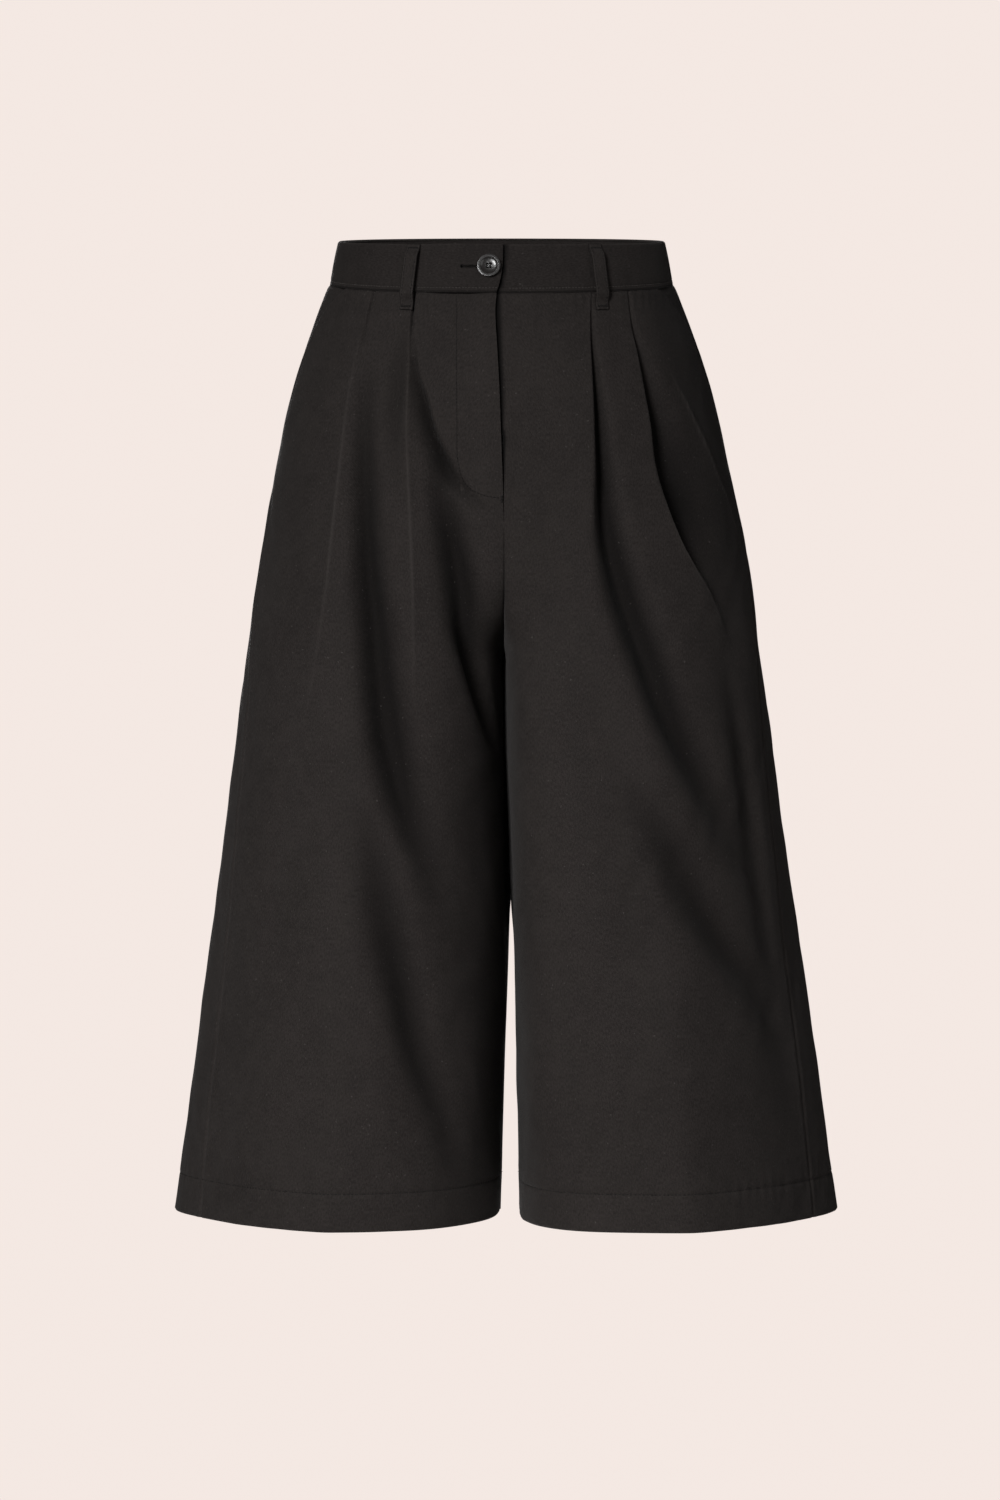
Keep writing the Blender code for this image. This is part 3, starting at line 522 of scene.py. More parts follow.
def makeSheet(name, node, side, rows, wall=garment["cloth"], finish=blackTwill, double=None):
    # a grid whose points are moved onto the cloth, then given its thickness
    step = -1 if side == left else 1  # keeps the faces pointing outwards
    points, flat, shineAndShade = (np.array(values)[::step] for values in zip(*rows))
    bpy.ops.mesh.primitive_grid_add(
        x_subdivisions=points.shape[1] - 1, y_subdivisions=points.shape[0] - 1, size=1)
    sheet = bpy.context.object
    sheet.name = sheet.data.name = name
    mesh = sheet.data
    mesh.vertices.foreach_set("co", points.reshape(-1))
    corners = np.empty(len(mesh.loops), int)
    mesh.loops.foreach_get("vertex_index", corners)
    mesh.uv_layers[0].name = "clothUV"
    mesh.uv_layers[0].data.foreach_set("uv", flat.reshape(-1, 2)[corners].reshape(-1))
    # per point: pale edges with painted highlight above 0, painted shade below 0
    edges = mesh.attributes.new("shineAndShade", "FLOAT", "POINT")
    edges.data.foreach_set("value", shineAndShade.reshape(-1))
    wallShape = sheet.modifiers.new("clothWall", "SOLIDIFY")
    wallShape.thickness = wall
    wallShape.offset = -1.0
    if double is not None:  # how far each row is of double thickness
        group = sheet.vertex_groups.new(name="double")
        shares = np.repeat(double[::step], points.shape[1])
        for share in np.unique(shares):
            group.add(np.flatnonzero(shares == share).tolist(), float(share), "REPLACE")
        wallShape.thickness = wall * 2
        wallShape.vertex_group = group.name
        wallShape.thickness_vertex_group = 0.5
    applyModifier(sheet, wallShape)
    mesh.materials.append(finish)
    bpy.ops.object.shade_smooth_by_angle(angle=math.radians(60))
    return claim(sheet, slotNames[finish], node)


# The two fronts


def eachInMetres(*tables):
    return [metres(rows) for rows in tables]


# Folds: drop, distance from the centre line, height (in if negative), and its width towards
# the centre and towards the side seam.
front = {
    "folds": {
        left: eachInMetres(
            # inner pleat: a fold that opens into a long soft valley
            ((2, 69, -0.6, 0.8, 1.4), (35, 69.2, -3, 1, 2.4), (64, 71.2, -6.4, 1.4, 4),
             (95, 73.4, -9.6, 2, 6), (140, 76.2, -12.6, 3.4, 8.6), (165, 77.5, -13.6, 4.8, 10.4),
             (190, 80.6, -14.4, 6.8, 12.2), (213, 86, -15, 9.2, 13.8), (253, 98, -15.4, 12.6, 15.6),
             (297, 116, -14.8, 15, 17), (335, 131, -13.2, 16.2, 17.6), (372, 149, -10.4, 17.2, 18.2),
             (402, 164, -7.2, 17.8, 18.4), (470, 195, 0, 18, 19)),
            # outer pleat, whose shade fades towards the hip
            ((0, 98, -0.8, 0.8, 1.4), (26, 101, -2, 1, 2.8), (46, 106.2, -4.4, 1.2, 6),
             (66, 110.8, -7.6, 1.6, 10), (102, 118.4, -11.8, 2.4, 16), (137, 124.4, -13.8, 3.4, 20.5),
             (171, 134.8, -13, 4.2, 21), (198, 145.6, -9.2, 5.6, 20.5), (232, 164, -3.6, 9, 19),
             (270, 179, -1.2, 11, 15), (340, 190, 0, 12, 13)),
            # long diagonal drape below the knee
            ((360, 80, 0, 22, 20), (401, 105, -3.6, 22, 20), (434, 128, -7, 22, 19),
             (481, 152, -8.6, 22, 19), (517, 174, -7.8, 22, 19), (549, 196, -5.8, 22, 19),
             (600, 220, -2.6, 22, 19), (660, 235, 0, 22, 19)),
            ((280, 170, 0, 14, 10), (340, 184, -4, 15, 10), (420, 196, -6.2, 17, 10),
             (500, 206, -4, 17, 11), (580, 216, 0, 16, 12)),
            ((260, 40, 0, 30, 30), (420, 60, 3, 34, 34), (600, 100, 4.5, 40, 40),
             (736, 120, 4, 44, 44)),
            # a short crease at the end of the fly
            ((128, 10, 0, 2, 2.4), (145, 8.5, -0.9, 1.6, 2.4), (160, 5.5, -0.9, 1.6, 2.4),
             (175, 3, 0, 1.6, 2.4)),
        ),
        right: eachInMetres(
            # both pleats start as a hairline at the waist
            ((0, 101, -1.5, 1.2, 0.9), (26, 106.8, -1.3, 1.2, 0.9), (62, 115, 0, 1.4, 1)),
            ((0, 69, -1.6, 1.2, 0.9), (22, 70.8, -2.4, 1.2, 0.9), (50, 71.5, 0, 1.4, 1.2)),
            # the valley on its inner side, which swings to the inner leg
            ((50, 106, 0, 7, 5), (92, 109, -4.4, 9, 6), (143, 110, -8.2, 12, 7.4),
             (191, 109, -11, 14, 8.6), (224, 107.2, -13, 15, 9.8), (260, 102.5, -14.4, 16, 11),
             (300, 97.5, -15, 17, 12.2), (340, 91, -14.6, 18, 13.4), (371, 83, -13.2, 18, 14.4),
             (415, 69, -9.8, 17, 15.4), (445, 56, -6, 16, 16), (500, 38, 0, 15, 16)),
            ((26, 80, 0, 5, 5), (55, 81.2, -3, 5.6, 6.4), (85, 82.5, -4.2, 5.6, 8),
             (115, 84, -3, 6, 8.6), (160, 85, 0, 7, 8.6)),
            # drag line from the inner pleat to the end of the fly
            ((34, 69.5, 0, 2, 4), (60, 67.8, -4.4, 2, 6), (85, 60.2, -8, 2, 8),
             (109, 53.8, -9.8, 2, 9.4), (126, 46.8, -9.4, 2.6, 9.8), (141, 39.8, -7.8, 3.2, 9.8),
             (153, 31, -5.4, 3.6, 9.6), (163, 21, -2.8, 3.8, 9.2), (176, 5, 0, 3.6, 8)),
            # inner thigh valley
            ((115, 52, 0, 9, 8), (150, 48, -5, 10, 9), (180, 42.5, -9.6, 11.2, 10),
             (210, 36, -12.6, 12, 11.2), (240, 29.5, -14.2, 12.2, 12.4), (270, 24, -13.8, 11.8, 13.4),
             (300, 18, -11.2, 10.8, 13.8), (330, 12, -7, 9.8, 13.4), (370, 4, 0, 9, 12)),
            # long diagonal drape below the knee
            ((395, 108, 0, 14, 16), (440, 98.5, -5, 14, 16), (503, 85, -8.8, 14, 17),
             (553, 73, -9.6, 14, 17), (603, 60, -8, 15, 18), (648, 44, -5, 16, 18),
             (710, 30, 0, 16, 18)),
        ),
    },
    # pressed creases, with a crisp top
    "creases": {
        left: eachInMetres(
            ((150, 121.5, 0, 4, 3), (171, 129, 1.4, 4, 3), (195, 137.7, 2.4, 5, 3.4),
             (221, 150.8, 2.6, 5.6, 3.6), (237, 160.4, 2, 6, 3.6), (275, 177, 0, 6, 3.6)),
            ((60, 129, 0, 6, 4), (82, 138.8, 2.2, 6, 4), (99, 146.6, 3, 6.4, 4),
             (122, 156.8, 3.4, 7, 4), (144, 166.1, 3.2, 7, 4), (168, 177.1, 2.4, 7, 4.4),
             (195, 186, 1.2, 7, 5), (220, 192, 0, 7, 5)),
        ),
        right: eachInMetres(
            ((20, 106.8, 0, 4, 9), (44, 112.6, 1.6, 4.6, 10), (90, 120.2, 3.4, 5.6, 12),
             (130, 124.2, 4.6, 6.6, 14), (184, 130, 5, 7.6, 16), (235, 135.2, 4, 9, 18),
             (290, 144, 2, 11, 20), (350, 156, 0, 13, 20)),
            ((14, 71, 0, 3, 3), (40, 72.4, 1.8, 3, 3.6), (85, 73.4, 4, 5, 5), (120, 72.8, 5, 7, 7),
             (160, 71.2, 5.2, 9, 10), (210, 69.7, 4.6, 11, 14), (260, 69, 3, 12, 16),
             (330, 68, 0, 14, 18)),
        ),
    },
    # the columns that run along the two pleats of each front: drop, inner, outer, half width
    "lines": {
        left: metres((
            (0, 69, 98, 5), (35, 69.2, 104, 5.5), (66, 71.2, 111.8, 6), (102, 73.2, 118.8, 7),
            (140, 74.8, 123.5, 8), (171, 74.8, 129, 9), (213, 81.5, 148, 10), (253, 93, 164, 12),
            (297, 111, 174, 14), (350, 128, 182, 16)
        )),
        right: metres((
            (0, 69, 101, 5), (35, 72, 109.5, 5.5), (66, 73, 116.2, 6), (102, 73.2, 121.5, 7),
            (150, 71.8, 126, 9), (213, 69.5, 133, 11), (270, 69, 141, 13), (350, 69, 156, 16)
        )),
    },
    # over which drops those columns turn into evenly shared ones, and their shares of the width
    "linesEnd": (0.30, 0.60), "innerShare": 0.44, "outerShare": 0.74, "lineGap": 0.006,
    # how many columns lie in each stretch between them, and how much they crowd at its ends
    "columns": ((36, 0.5), (26, 0), (20, 0.4), (26, 0), (56, 0.5)),
    # pocket mouth: drop and degrees in front of the widest point
    "mouth": ((0.000, 27.0), (0.020, 15.0), (0.050, 6.0), (0.085, 2.0), (0.125, -2.6)),
    "mouthDrop": 0.125,
    "flyLength": 0.168, "flyUnderlap": 0.008, "underlapEnd": (0.085, 0.115),
    # how far the edge that laps over lies from the centre line
    "lapEdge": metres((
        (0, 5), (16, 6), (45, 4.4), (75, 2.8), (105, 2), (160, 0.6), (198, 0)
    )),
    # how wide the strip of painted shadow beside that edge is, how deep the cloth sinks there, and from
    # where the shadow fades
    "lapShade": metres((
        (0, 3), (16, 4.6), (45, 4), (90, 3.4), (125, 1.6), (168, 1)
    )),
    "lapShadeDepth": 0.0005, "lapShadeFade": 0.7,
    "lapLift": 0.0026, "lapBlend": (0.010, 0.028), "lapEnd": (0.135, 0.168),
    # painted shade on the hip beyond the outer pleat, for each side
    "hipShade": {left: 0.38, right: 0.08}, "hipShadeEnd": (0.16, 0.30), "hipShadeStart": (0.004, 0.030),
    # how pale a crease's top is for its height: a painted highlight, partly wear from pressing
    "creaseShine": {left: 330, right: 95}, "creaseWidth": 0.0013,
    # painted shade in the folds: its strength and the fold depth at which it is full; folds that go in
    # are made deeper by depthScale
    "foldShade": 0.74, "shadeDepth": 0.0125, "depthScale": 1.22,
    # a pale line along the front's edge, partly wear from pressing and partly painted highlight
    "seamShine": 0.15,
}

edges = {
    # a seam: the edge rolls in, and its allowance shows as a low ridge beside it
    "ridge": 0.00045, "ridgeAt": 0.0045, "ridgeWidth": 0.0032, "groove": 0.0009, "grooveWidth": 0.0011,
    "seamWidth": 0.0016, "calmWidth": 0.016, "calmEnds": 0.02,
    # the waist seam, gathered in a little by the band's stitching, with a line of painted shade along it
    "waistPucker": 0.00028, "waistGroove": 0.0009, "waistShade": 0.9,
    # the hem: a groove along its stitches, a rolled edge with a pale line on it (partly wear from
    # pressing, partly painted highlight), and its double cloth
    "hemPucker": 0.00025, "hemGroove": 0.0006, "hemRoll": 0.0010, "hemShine": 0.5,
    "hemStart": (-0.0022, -0.0004),
}


def lapEdge(drop):
    return readRows(front["lapEdge"], 1, drop)


def foldLift(ring, arcs, folds, back=False, crisp=False):
    lift = np.zeros_like(arcs)
    for rows in folds[ring["side"]]:
        if rows[0][0] <= ring["drop"] <= rows[-1][0]:
            away = arcs - arcOfX(ring, readRows(rows, 1, ring["drop"]), back)
            height, inner, outer = (readRows(rows, column, ring["drop"]) for column in (2, 3, 4))
            height = height * (front["depthScale"] if height < 0 else 1)
            share = np.abs(away / np.where(away < 0, inner, outer))
            lift = lift + height * np.exp(-share if crisp else -share ** 2)
    return lift


def sideCalm(ring, arcs):
    # folds die out at the side seam too
    return 1 - bell(arcs - sideSeamArc(ring), edges["calmWidth"])


def seamCalm(ring, arcs):
    return ease(arcs, 0.0, edges["calmEnds"]) * ease(ring["length"] - arcs, 0.0, edges["calmEnds"])


def handLift(ring, arcs):
    # slow unevenness of hanging cloth, never quite the same twice
    drop = ring["drop"]
    along = arcs - sideSeamArc(ring) + 0.13 * (ring["side"] + 1)
    wave = 0.00055 * np.sin(along * 71 + drop * 9 + 1.3 * np.sin(drop * 23))
    wave += 0.00040 * np.sin(along * 43 - drop * 17 + 2.1) * np.cos(drop * 31 + along * 11)
    wave += 0.00022 * np.sin(along * 151 + 4 * np.sin(drop * 37 + along * 19))
    return wave * ease(drop, 0.01, 0.12) * seamCalm(ring, arcs)


def seamLift(away):
    ridge = edges["ridge"] * bell(away - edges["ridgeAt"], edges["ridgeWidth"])
    return ridge - edges["groove"] * bell(away, edges["grooveWidth"])


def waistLift(drop, arcs):
    pucker = edges["waistPucker"] * np.sin(arcs * 640 + 2.2 * np.sin(arcs * 97))
    return pucker * bell(drop - 0.006, 0.007) - edges["waistGroove"] * bell(drop, 0.0022)


def hemLift(ring, arcs):
    above = garment["length"] - garment["hem"] - ring["drop"]
    pucker = edges["hemPucker"] * np.sin(arcs * 520 + 3 * np.sin(arcs * 61)) * bell(above, 0.009)
    roll = edges["hemRoll"] * ease(ring["drop"], garment["length"] - 0.0016, garment["length"])
    return pucker - roll - edges["hemGroove"] * bell(above, 0.0011)


def lapLift(ring, arcs):
    if ring["side"] == left:
        return 0.0
    over = (1 - ease(arcs, *front["lapBlend"])) * (1 - ease(ring["drop"], *front["lapEnd"]))
    return front["lapLift"] * over


def frontLift(ring, arcs):
    lift = foldLift(ring, arcs, front["folds"]) + foldLift(ring, arcs, front["creases"], crisp=True)
    lift = (lift * sideCalm(ring, arcs) + handLift(ring, arcs)) * seamCalm(ring, arcs)
    return lift + lapLift(ring, arcs) + waistLift(ring["drop"], arcs) + hemLift(ring, arcs)


def legShade(ring, arcs, folds, back=False):
    # painted shade in the folds and along the waist seam, and a pale hem edge that is partly wear from
    # pressing and partly painted highlight
    drop, length = ring["drop"], garment["length"]
    depth = -foldLift(ring, arcs, folds, back) * sideCalm(ring, arcs) / front["shadeDepth"]
    shade = edges["hemShine"] * ease(drop, length - 0.002, length)
    shade = shade - edges["waistShade"] * bell(drop, 0.0008)
    return shade - front["foldShade"] * np.clip(depth, 0, 1)


def hipShade(ring, arcs):
    # painted shade on the hip beyond the outer pleat, fading out lower down
    pleat = arcOfX(ring, readRows(front["lines"][ring["side"]], 2, ring["drop"]))
    low = 1 - ease(ring["drop"], *front["hipShadeEnd"])
    return -front["hipShade"][ring["side"]] * low * ease(arcs - pleat, *front["hipShadeStart"])


def creaseShine(ring, arcs):
    # a painted highlight along each crease's top, partly wear from pressing
    shine = np.zeros_like(arcs)
    for rows in front["creases"][ring["side"]]:
        if rows[0][0] <= ring["drop"] <= rows[-1][0]:
            away = arcs - arcOfX(ring, readRows(rows, 1, ring["drop"]))
            strength = readRows(rows, 2, ring["drop"]) * front["creaseShine"][ring["side"]]
            shine = shine + strength * bell(away, front["creaseWidth"])
    return shine


def pleatedArcs(ring, start, edge):
    # all columns of a front, close together along the two pleats
    rows = front["lines"][ring["side"]]
    half = readRows(rows, 3, ring["drop"])
    faded = ease(ring["drop"], *front["linesEnd"])
    inner = mix(arcOfX(ring, readRows(rows, 1, ring["drop"])), front["innerShare"] * edge, faded)
    outer = mix(arcOfX(ring, readRows(rows, 2, ring["drop"])), front["outerShare"] * edge, faded)
    outer = min(outer, edge - half - front["lineGap"])
    inner = min(inner, outer - 2 * half - front["lineGap"])
    places = (start, inner - half, inner + half, outer - half, outer + half, edge)
    arcs = [np.array([start])]
    for before, after, (count, crowding) in zip(places, places[1:], front["columns"]):
        share = np.linspace(0, 1, count + 1)[1:]
        share = share - crowding * np.sin(2 * np.pi * share) / (2 * np.pi)
        arcs.append(mix(before, after, share))
    return np.concatenate(arcs)


def frontEdgeArc(ring):
    # the front ends at the pocket's mouth, and below it at the side seam
    seam = sideSeamArc(ring)
    if ring["drop"] >= front["mouthDrop"]:
        return seam
    return min(arcOfAngle(ring, readRows(front["mouth"], 1, ring["drop"])), seam - garment["gap"])


def findLegDrops():
    # closer rows at the waist, the crotch and the hem: from each drop, the step
    stops = [(0.0, 0.0012), (0.006, 0.0014), (0.020, 0.0030), (0.27, 0.0030), (0.280, 0.0022),
             (0.2895, 0.0022), (0.31, 0.0036), (0.60, 0.0036), (0.700, 0.0030), (0.7045, 0.0009),
             (0.7080, 0.0026), (0.7340, 0.0008), (0.736, 0.0008)]
    drops = []
    for (start, step), (end, _) in zip(stops, stops[1:]):
        count = max(1, round((end - start) / step))
        drops += [start + (end - start) * i / count for i in range(count)]
    return np.array(drops + [stops[-1][0]])


legDrops = findLegDrops()
hemDouble = ease(legDrops - garment["length"] + garment["hem"], *edges["hemStart"])


def besideLap(ring, arcs, lap, width):
    # the strip of painted shadow on the left, beside the edge that laps over it
    return bell(np.maximum(arcs - arcOfX(ring, -lap), 0.0), width, 4)


def makeFront(side):
    rows = []
    for drop in legDrops:
        underlap = front["flyUnderlap"] * (1 - ease(drop, *front["underlapEnd"]))
        ring = makeRing(side, drop, underlap if side == left else 0.0)
        edge = frontEdgeArc(ring)
        arcs = pleatedArcs(ring, lapEdge(drop) if side == right else 0.0, edge)
        lift = frontLift(ring, arcs) + seamLift(edge - arcs)
        # pale along the front's edge and the crease tops (partly wear from pressing, partly painted
        # highlight), and painted shade in the folds, at the waist seam and on the hip
        rowShineAndShade = front["seamShine"] * bell(edge - arcs, edges["seamWidth"]) + creaseShine(ring, arcs)
        rowShineAndShade = rowShineAndShade + legShade(ring, arcs, front["folds"]) + hipShade(ring, arcs)
        # painted shadow beside the edge that laps over it, where the cloth also sinks a little
        if side == left and drop < front["flyLength"]:
            fade = 1 - ease(drop, front["lapShadeFade"] * front["flyLength"], front["flyLength"])
            shade = fade * besideLap(ring, arcs, lapEdge(drop), readRows(front["lapShade"], 1, drop))
            lift, rowShineAndShade = lift - front["lapShadeDepth"] * shade, rowShineAndShade - shade
        rows.append(clothRow(ring, arcs, lift, rowShineAndShade, arcs - sideSeamArc(ring)))
    word = sideNames[side]
    return makeSheet("frontCloth_" + word, "front_" + word, side, rows, double=hemDouble)


frontPieces = {side: makeFront(side) for side in (left, right)}
print("fronts made")

# The two backs

backPanel = {
    "folds": {
        left: eachInMetres(
            ((200, 70, 0, 14, 18), (330, 78, -6.6, 16, 20), (540, 98, -8, 20, 26),
             (736, 108, -5.5, 24, 28)),
            ((240, 150, 0, 16, 18), (400, 166, -5.6, 18, 20), (736, 204, -4.4, 22, 24)),
            ((180, 20, 0, 8, 10), (260, 36, -3.4, 8, 10), (350, 52, -2, 10, 12), (420, 60, 0, 12, 14)),
            ((130, 110, 0, 10, 10), (200, 124, -2.2, 10, 12), (300, 132, 0, 12, 14)),
        ),
        right: eachInMetres(
            ((190, 78, 0, 14, 18), (320, 82, -5.8, 16, 20), (520, 90, -8.4, 20, 26),
             (736, 100, -5.6, 24, 30)),
            ((260, 148, 0, 16, 18), (430, 172, -6.2, 18, 20), (736, 210, -4.2, 22, 24)),
            ((200, 22, 0, 8, 10), (270, 34, -2.8, 8, 10), (360, 46, -1.6, 10, 12),
             (430, 56, 0, 12, 14)),
            ((120, 104, 0, 10, 10), (190, 120, -1.8, 10, 12), (280, 136, 0, 12, 14)),
        ),
    },
    # seamShine: a pale line along the side seam, partly wear from pressing and partly painted highlight
    "columns": 120, "crowding": 0.6, "seamShine": 0.3,
    "dartX": 0.078, "dartLength": 0.105, "dartFade": 0.6, "dartColumn": 80,
    "dartDepth": 0.0011, "dartRidge": 0.0005,
}


def backLift(ring, arcs):
    lift = foldLift(ring, arcs, backPanel["folds"], back=True) * sideCalm(ring, arcs)
    lift = (lift + handLift(ring, arcs)) * seamCalm(ring, arcs)
    length = backPanel["dartLength"]
    if ring["drop"] < length:
        away = arcs - arcOfX(ring, backPanel["dartX"], back=True)
        dart = backPanel["dartDepth"] * bell(away, 0.0011)
        dart = dart - backPanel["dartRidge"] * bell(away - 0.004, 0.003)
        lift = lift - dart * (1 - ease(ring["drop"], backPanel["dartFade"] * length, length))
    return lift + waistLift(ring["drop"], arcs) + hemLift(ring, arcs)


def makeBack(side):
    rows = []
    share = np.linspace(0, 1, backPanel["columns"] + 1)
    share = share - backPanel["crowding"] * np.sin(2 * np.pi * share) / (2 * np.pi)
    for drop in legDrops:
        ring = makeRing(side, drop)
        start = sideSeamArc(ring)
        arcs = mix(start, ring["length"], share)
        if drop < backPanel["dartLength"]:  # a column runs down the dart
            dart = arcOfX(ring, backPanel["dartX"], back=True)
            places = [0, backPanel["dartColumn"], backPanel["columns"]]
            arcs = np.interp(np.arange(len(arcs)), places, [start, dart, ring["length"]])
        lift = backLift(ring, arcs) + seamLift(arcs - start)
        # pale along the side seam (partly wear from pressing, partly painted highlight) and painted shade
        # in the folds
        rowShineAndShade = backPanel["seamShine"] * bell(arcs - start, edges["seamWidth"])
        rowShineAndShade = rowShineAndShade + legShade(ring, arcs, backPanel["folds"], back=True)
        rows.append(clothRow(ring, arcs, lift, rowShineAndShade, arcs - start))
    word = sideNames[side]
    return makeSheet("backCloth_" + word, "back_" + word, side, rows, double=hemDouble)


backPieces = {side: makeBack(side) for side in (left, right)}
print("backs made")

# The waistband

band = {
    "wall": 0.0024, "underlap": 0.036, "below": 0.0006, "columns": 150,
    "lapLift": 0.0029, "lapBlend": (0.042, 0.066), "lapEdgeRoll": 0.0007,
    # painted shadow beside the lapping end: its width, how far the band sinks there and how dark it is
    "lapShade": 0.0032, "lapShadeDepth": 0.0006, "lapDarkness": 0.95,
    "bulge": 0.0003, "topRoll": 0.0009, "bottomRoll": 0.0003, "wave": 0.00018,
    "stitchDrop": -0.0030, "stitchGroove": 0.0005, "stitchPucker": 0.00012,
    # painted shade over the whole band and along the waist seam, and a pale top edge that is partly wear
    # from pressing and partly painted highlight
    "shade": 0.15, "seamShade": 0.9, "topShine": 0.3,
    # rows: how far each lies below the top edge, then above the waist seam
    "fromTop": (0.0, 0.0004, 0.0010, 0.0020), "middle": (0.0045, 0.0060, 9),
    "fromSeam": (0.0045, 0.0038, 0.0030, 0.0022, 0.0014, 0.0009, 0.0004),
}


def bandLift(side, drop, arcs):
    height = garment["bandHeight"]
    middle = math.sin(math.pi * min(max(-drop / height, 0), 1))
    lift = band["bulge"] * middle + band["wave"] * middle * np.sin(arcs * 130 + 3 * np.sin(arcs * 31))
    lift = lift - band["topRoll"] * bell(height + drop, 0.0007) - band["bottomRoll"] * bell(drop, 0.0008)
    fromStitches = drop - band["stitchDrop"]
    pucker = band["stitchPucker"] * np.sin(arcs * 560 + 2 * np.sin(arcs * 83)) * bell(fromStitches, 0.004)
    lift = lift + pucker - band["stitchGroove"] * bell(fromStitches, 0.0009)
    if side == right:
        lift = lift + band["lapLift"] * (1 - ease(arcs, *band["lapBlend"]))
    return lift


def makeBand(side):
    height = garment["bandHeight"]
    first, last, count = band["middle"]
    drops = [-height + at for at in band["fromTop"]]
    drops += np.linspace(-height + first, -last, count).tolist()
    drops += [*(-at for at in band["fromSeam"]), band["below"]]
    rows = []
    for drop in drops:
        ring = makeRing(side, drop, band["underlap"] if side == left else 0.0)
        lap = lapEdge(0.0) * (1 + drop / height) ** 3
        start = 0.0 if side == left else lap
        arcs = mix(start, ring["length"], np.linspace(0, 1, band["columns"] + 1))
        arcs[1] = mix(arcs[0], arcs[2], 0.25)
        lift = bandLift(side, drop, arcs)
        # a pale top edge (partly wear from pressing, partly painted highlight), painted shade over the
        # whole band and along the waist seam
        rowShineAndShade = band["topShine"] * bell(height + drop, 0.0012) - band["shade"]
        rowShineAndShade = rowShineAndShade - band["seamShade"] * bell(drop, 0.0006)
        if side == right:
            lift = lift - band["lapEdgeRoll"] * bell(arcs - start, 0.0008)
        else:
            # painted shadow beside the lapping end, where the band sinks a little
            shade = besideLap(ring, arcs, lap, band["lapShade"])
            lift, rowShineAndShade = lift - band["lapShadeDepth"] * shade, rowShineAndShade - band["lapDarkness"] * shade
        points, flat, shineAndShade = clothRow(ring, arcs, lift, rowShineAndShade)
        rows.append((points, flat[:, ::-1], shineAndShade))  # the twill runs across the band
    word = sideNames[side]
    return makeSheet("bandCloth_" + word, "waistband_" + word, side, rows, band["wall"])


bandPieces = {side: makeBand(side) for side in (left, right)}
print("waistband made")

# Pocket facings and bags, fly shield and zip

pocket = {
    "facingDrop": 0.150, "facingSink": 0.0004, "mouthEase": (0.004, 0.024), "mouthUnderlap": 0.014,
    # mouthShade is painted shadow along the pocket's mouth
    "mouthShade": 0.7, "bagDrop": 0.205, "bagRows": 46, "bagWall": 0.0016, "bagInset": 0.008,
    "bagReach": 0.105, "bagRounding": 0.055, "bagNarrowing": 0.045, "bagClear": 0.0008,
    "bagSink": 0.009, "bagFoldClear": 0.0006, "bagSeam": 0.0004,
}


def makeFacing(side):
    rows = []
    for drop in legDrops[legDrops < pocket["facingDrop"]]:
        ring = makeRing(side, drop)
        mouth = frontEdgeArc(ring) - garment["gap"] / 2
        seam = max(sideSeamArc(ring), mouth + 0.001)
        # the last two columns are the seam allowance, under the back
        arcs = np.concatenate((np.linspace(mouth - pocket["mouthUnderlap"], mouth, 8)[:-1],
                               np.linspace(mouth, seam, 22), (seam + 0.0003, seam + 0.0040)))
        shown = ease(arcs - mouth, *pocket["mouthEase"])
        sink = (garment["cloth"] + pocket["facingSink"]) * (1 - shown)
        lift = frontLift(ring, np.minimum(arcs, mouth)) * (1 - shown) - sink
        lift = lift + (waistLift(drop, arcs) + seamLift(seam - arcs)) * shown
        lift[-2:] = lift[-3] - garment["cloth"] - garment["gap"]
        # painted shade on the hip, and painted shadow along the pocket's mouth
        rowShineAndShade = hipShade(ring, arcs) - pocket["mouthShade"] * bell(arcs - mouth, edges["seamWidth"])
        rows.append(clothRow(ring, arcs, lift, rowShineAndShade))
    word = sideNames[side]
    return makeSheet("hipCloth_" + word, "pocket_facing_" + word, side, rows)


def makeBag(side):
    rows = []
    for drop in np.linspace(garment["gap"] / 2, pocket["bagDrop"], pocket["bagRows"]):
        ring = makeRing(side, drop)
        low = max(1 - (pocket["bagDrop"] - drop) / pocket["bagRounding"], 0.0)
        narrowing = pocket["bagNarrowing"] * (1 - math.sqrt(max(1 - low**2, 0.0)))
        seam = sideSeamArc(ring)
        arcs = np.linspace(seam - pocket["bagReach"] + narrowing,
                           seam - pocket["bagInset"] - narrowing, 31)
        inward = ease(drop, 0.0, 0.060) * ease(seam - arcs, pocket["bagInset"], 0.045)
        # it hangs clear of the front's folds
        folds = foldLift(ring, arcs, front["folds"]) * sideCalm(ring, arcs) * seamCalm(ring, arcs)
        folds = np.minimum(folds, 0) - pocket["bagFoldClear"]
        lift = np.minimum(-pocket["bagSink"] * inward, folds)
        lift = lift - (2 * garment["cloth"] + pocket["facingSink"] + pocket["bagClear"])
        edge = np.minimum(arcs - arcs[0], arcs[-1] - arcs)
        lift = lift - pocket["bagSeam"] * bell(edge - 0.006, 0.001) * ease(drop, 0.03, 0.06)
        rows.append(clothRow(ring, arcs, lift, 0.0))
    word = sideNames[side]
    return makeSheet("pocketBag_" + word, "pocket_bag_" + word, side, rows,
                     pocket["bagWall"], blackLining)


fly = {
    "start": 0.0009, "length": 0.158, "rows": 54, "coil": 0.0002,
    "zip": {"reach": {left: 0.014, right: 0.012}, "sink": 0.0020, "wall": 0.0010},
    "shield": {"reach": {left: 0.008, right: 0.034}, "sink": 0.0034, "wall": 0.0012},
}


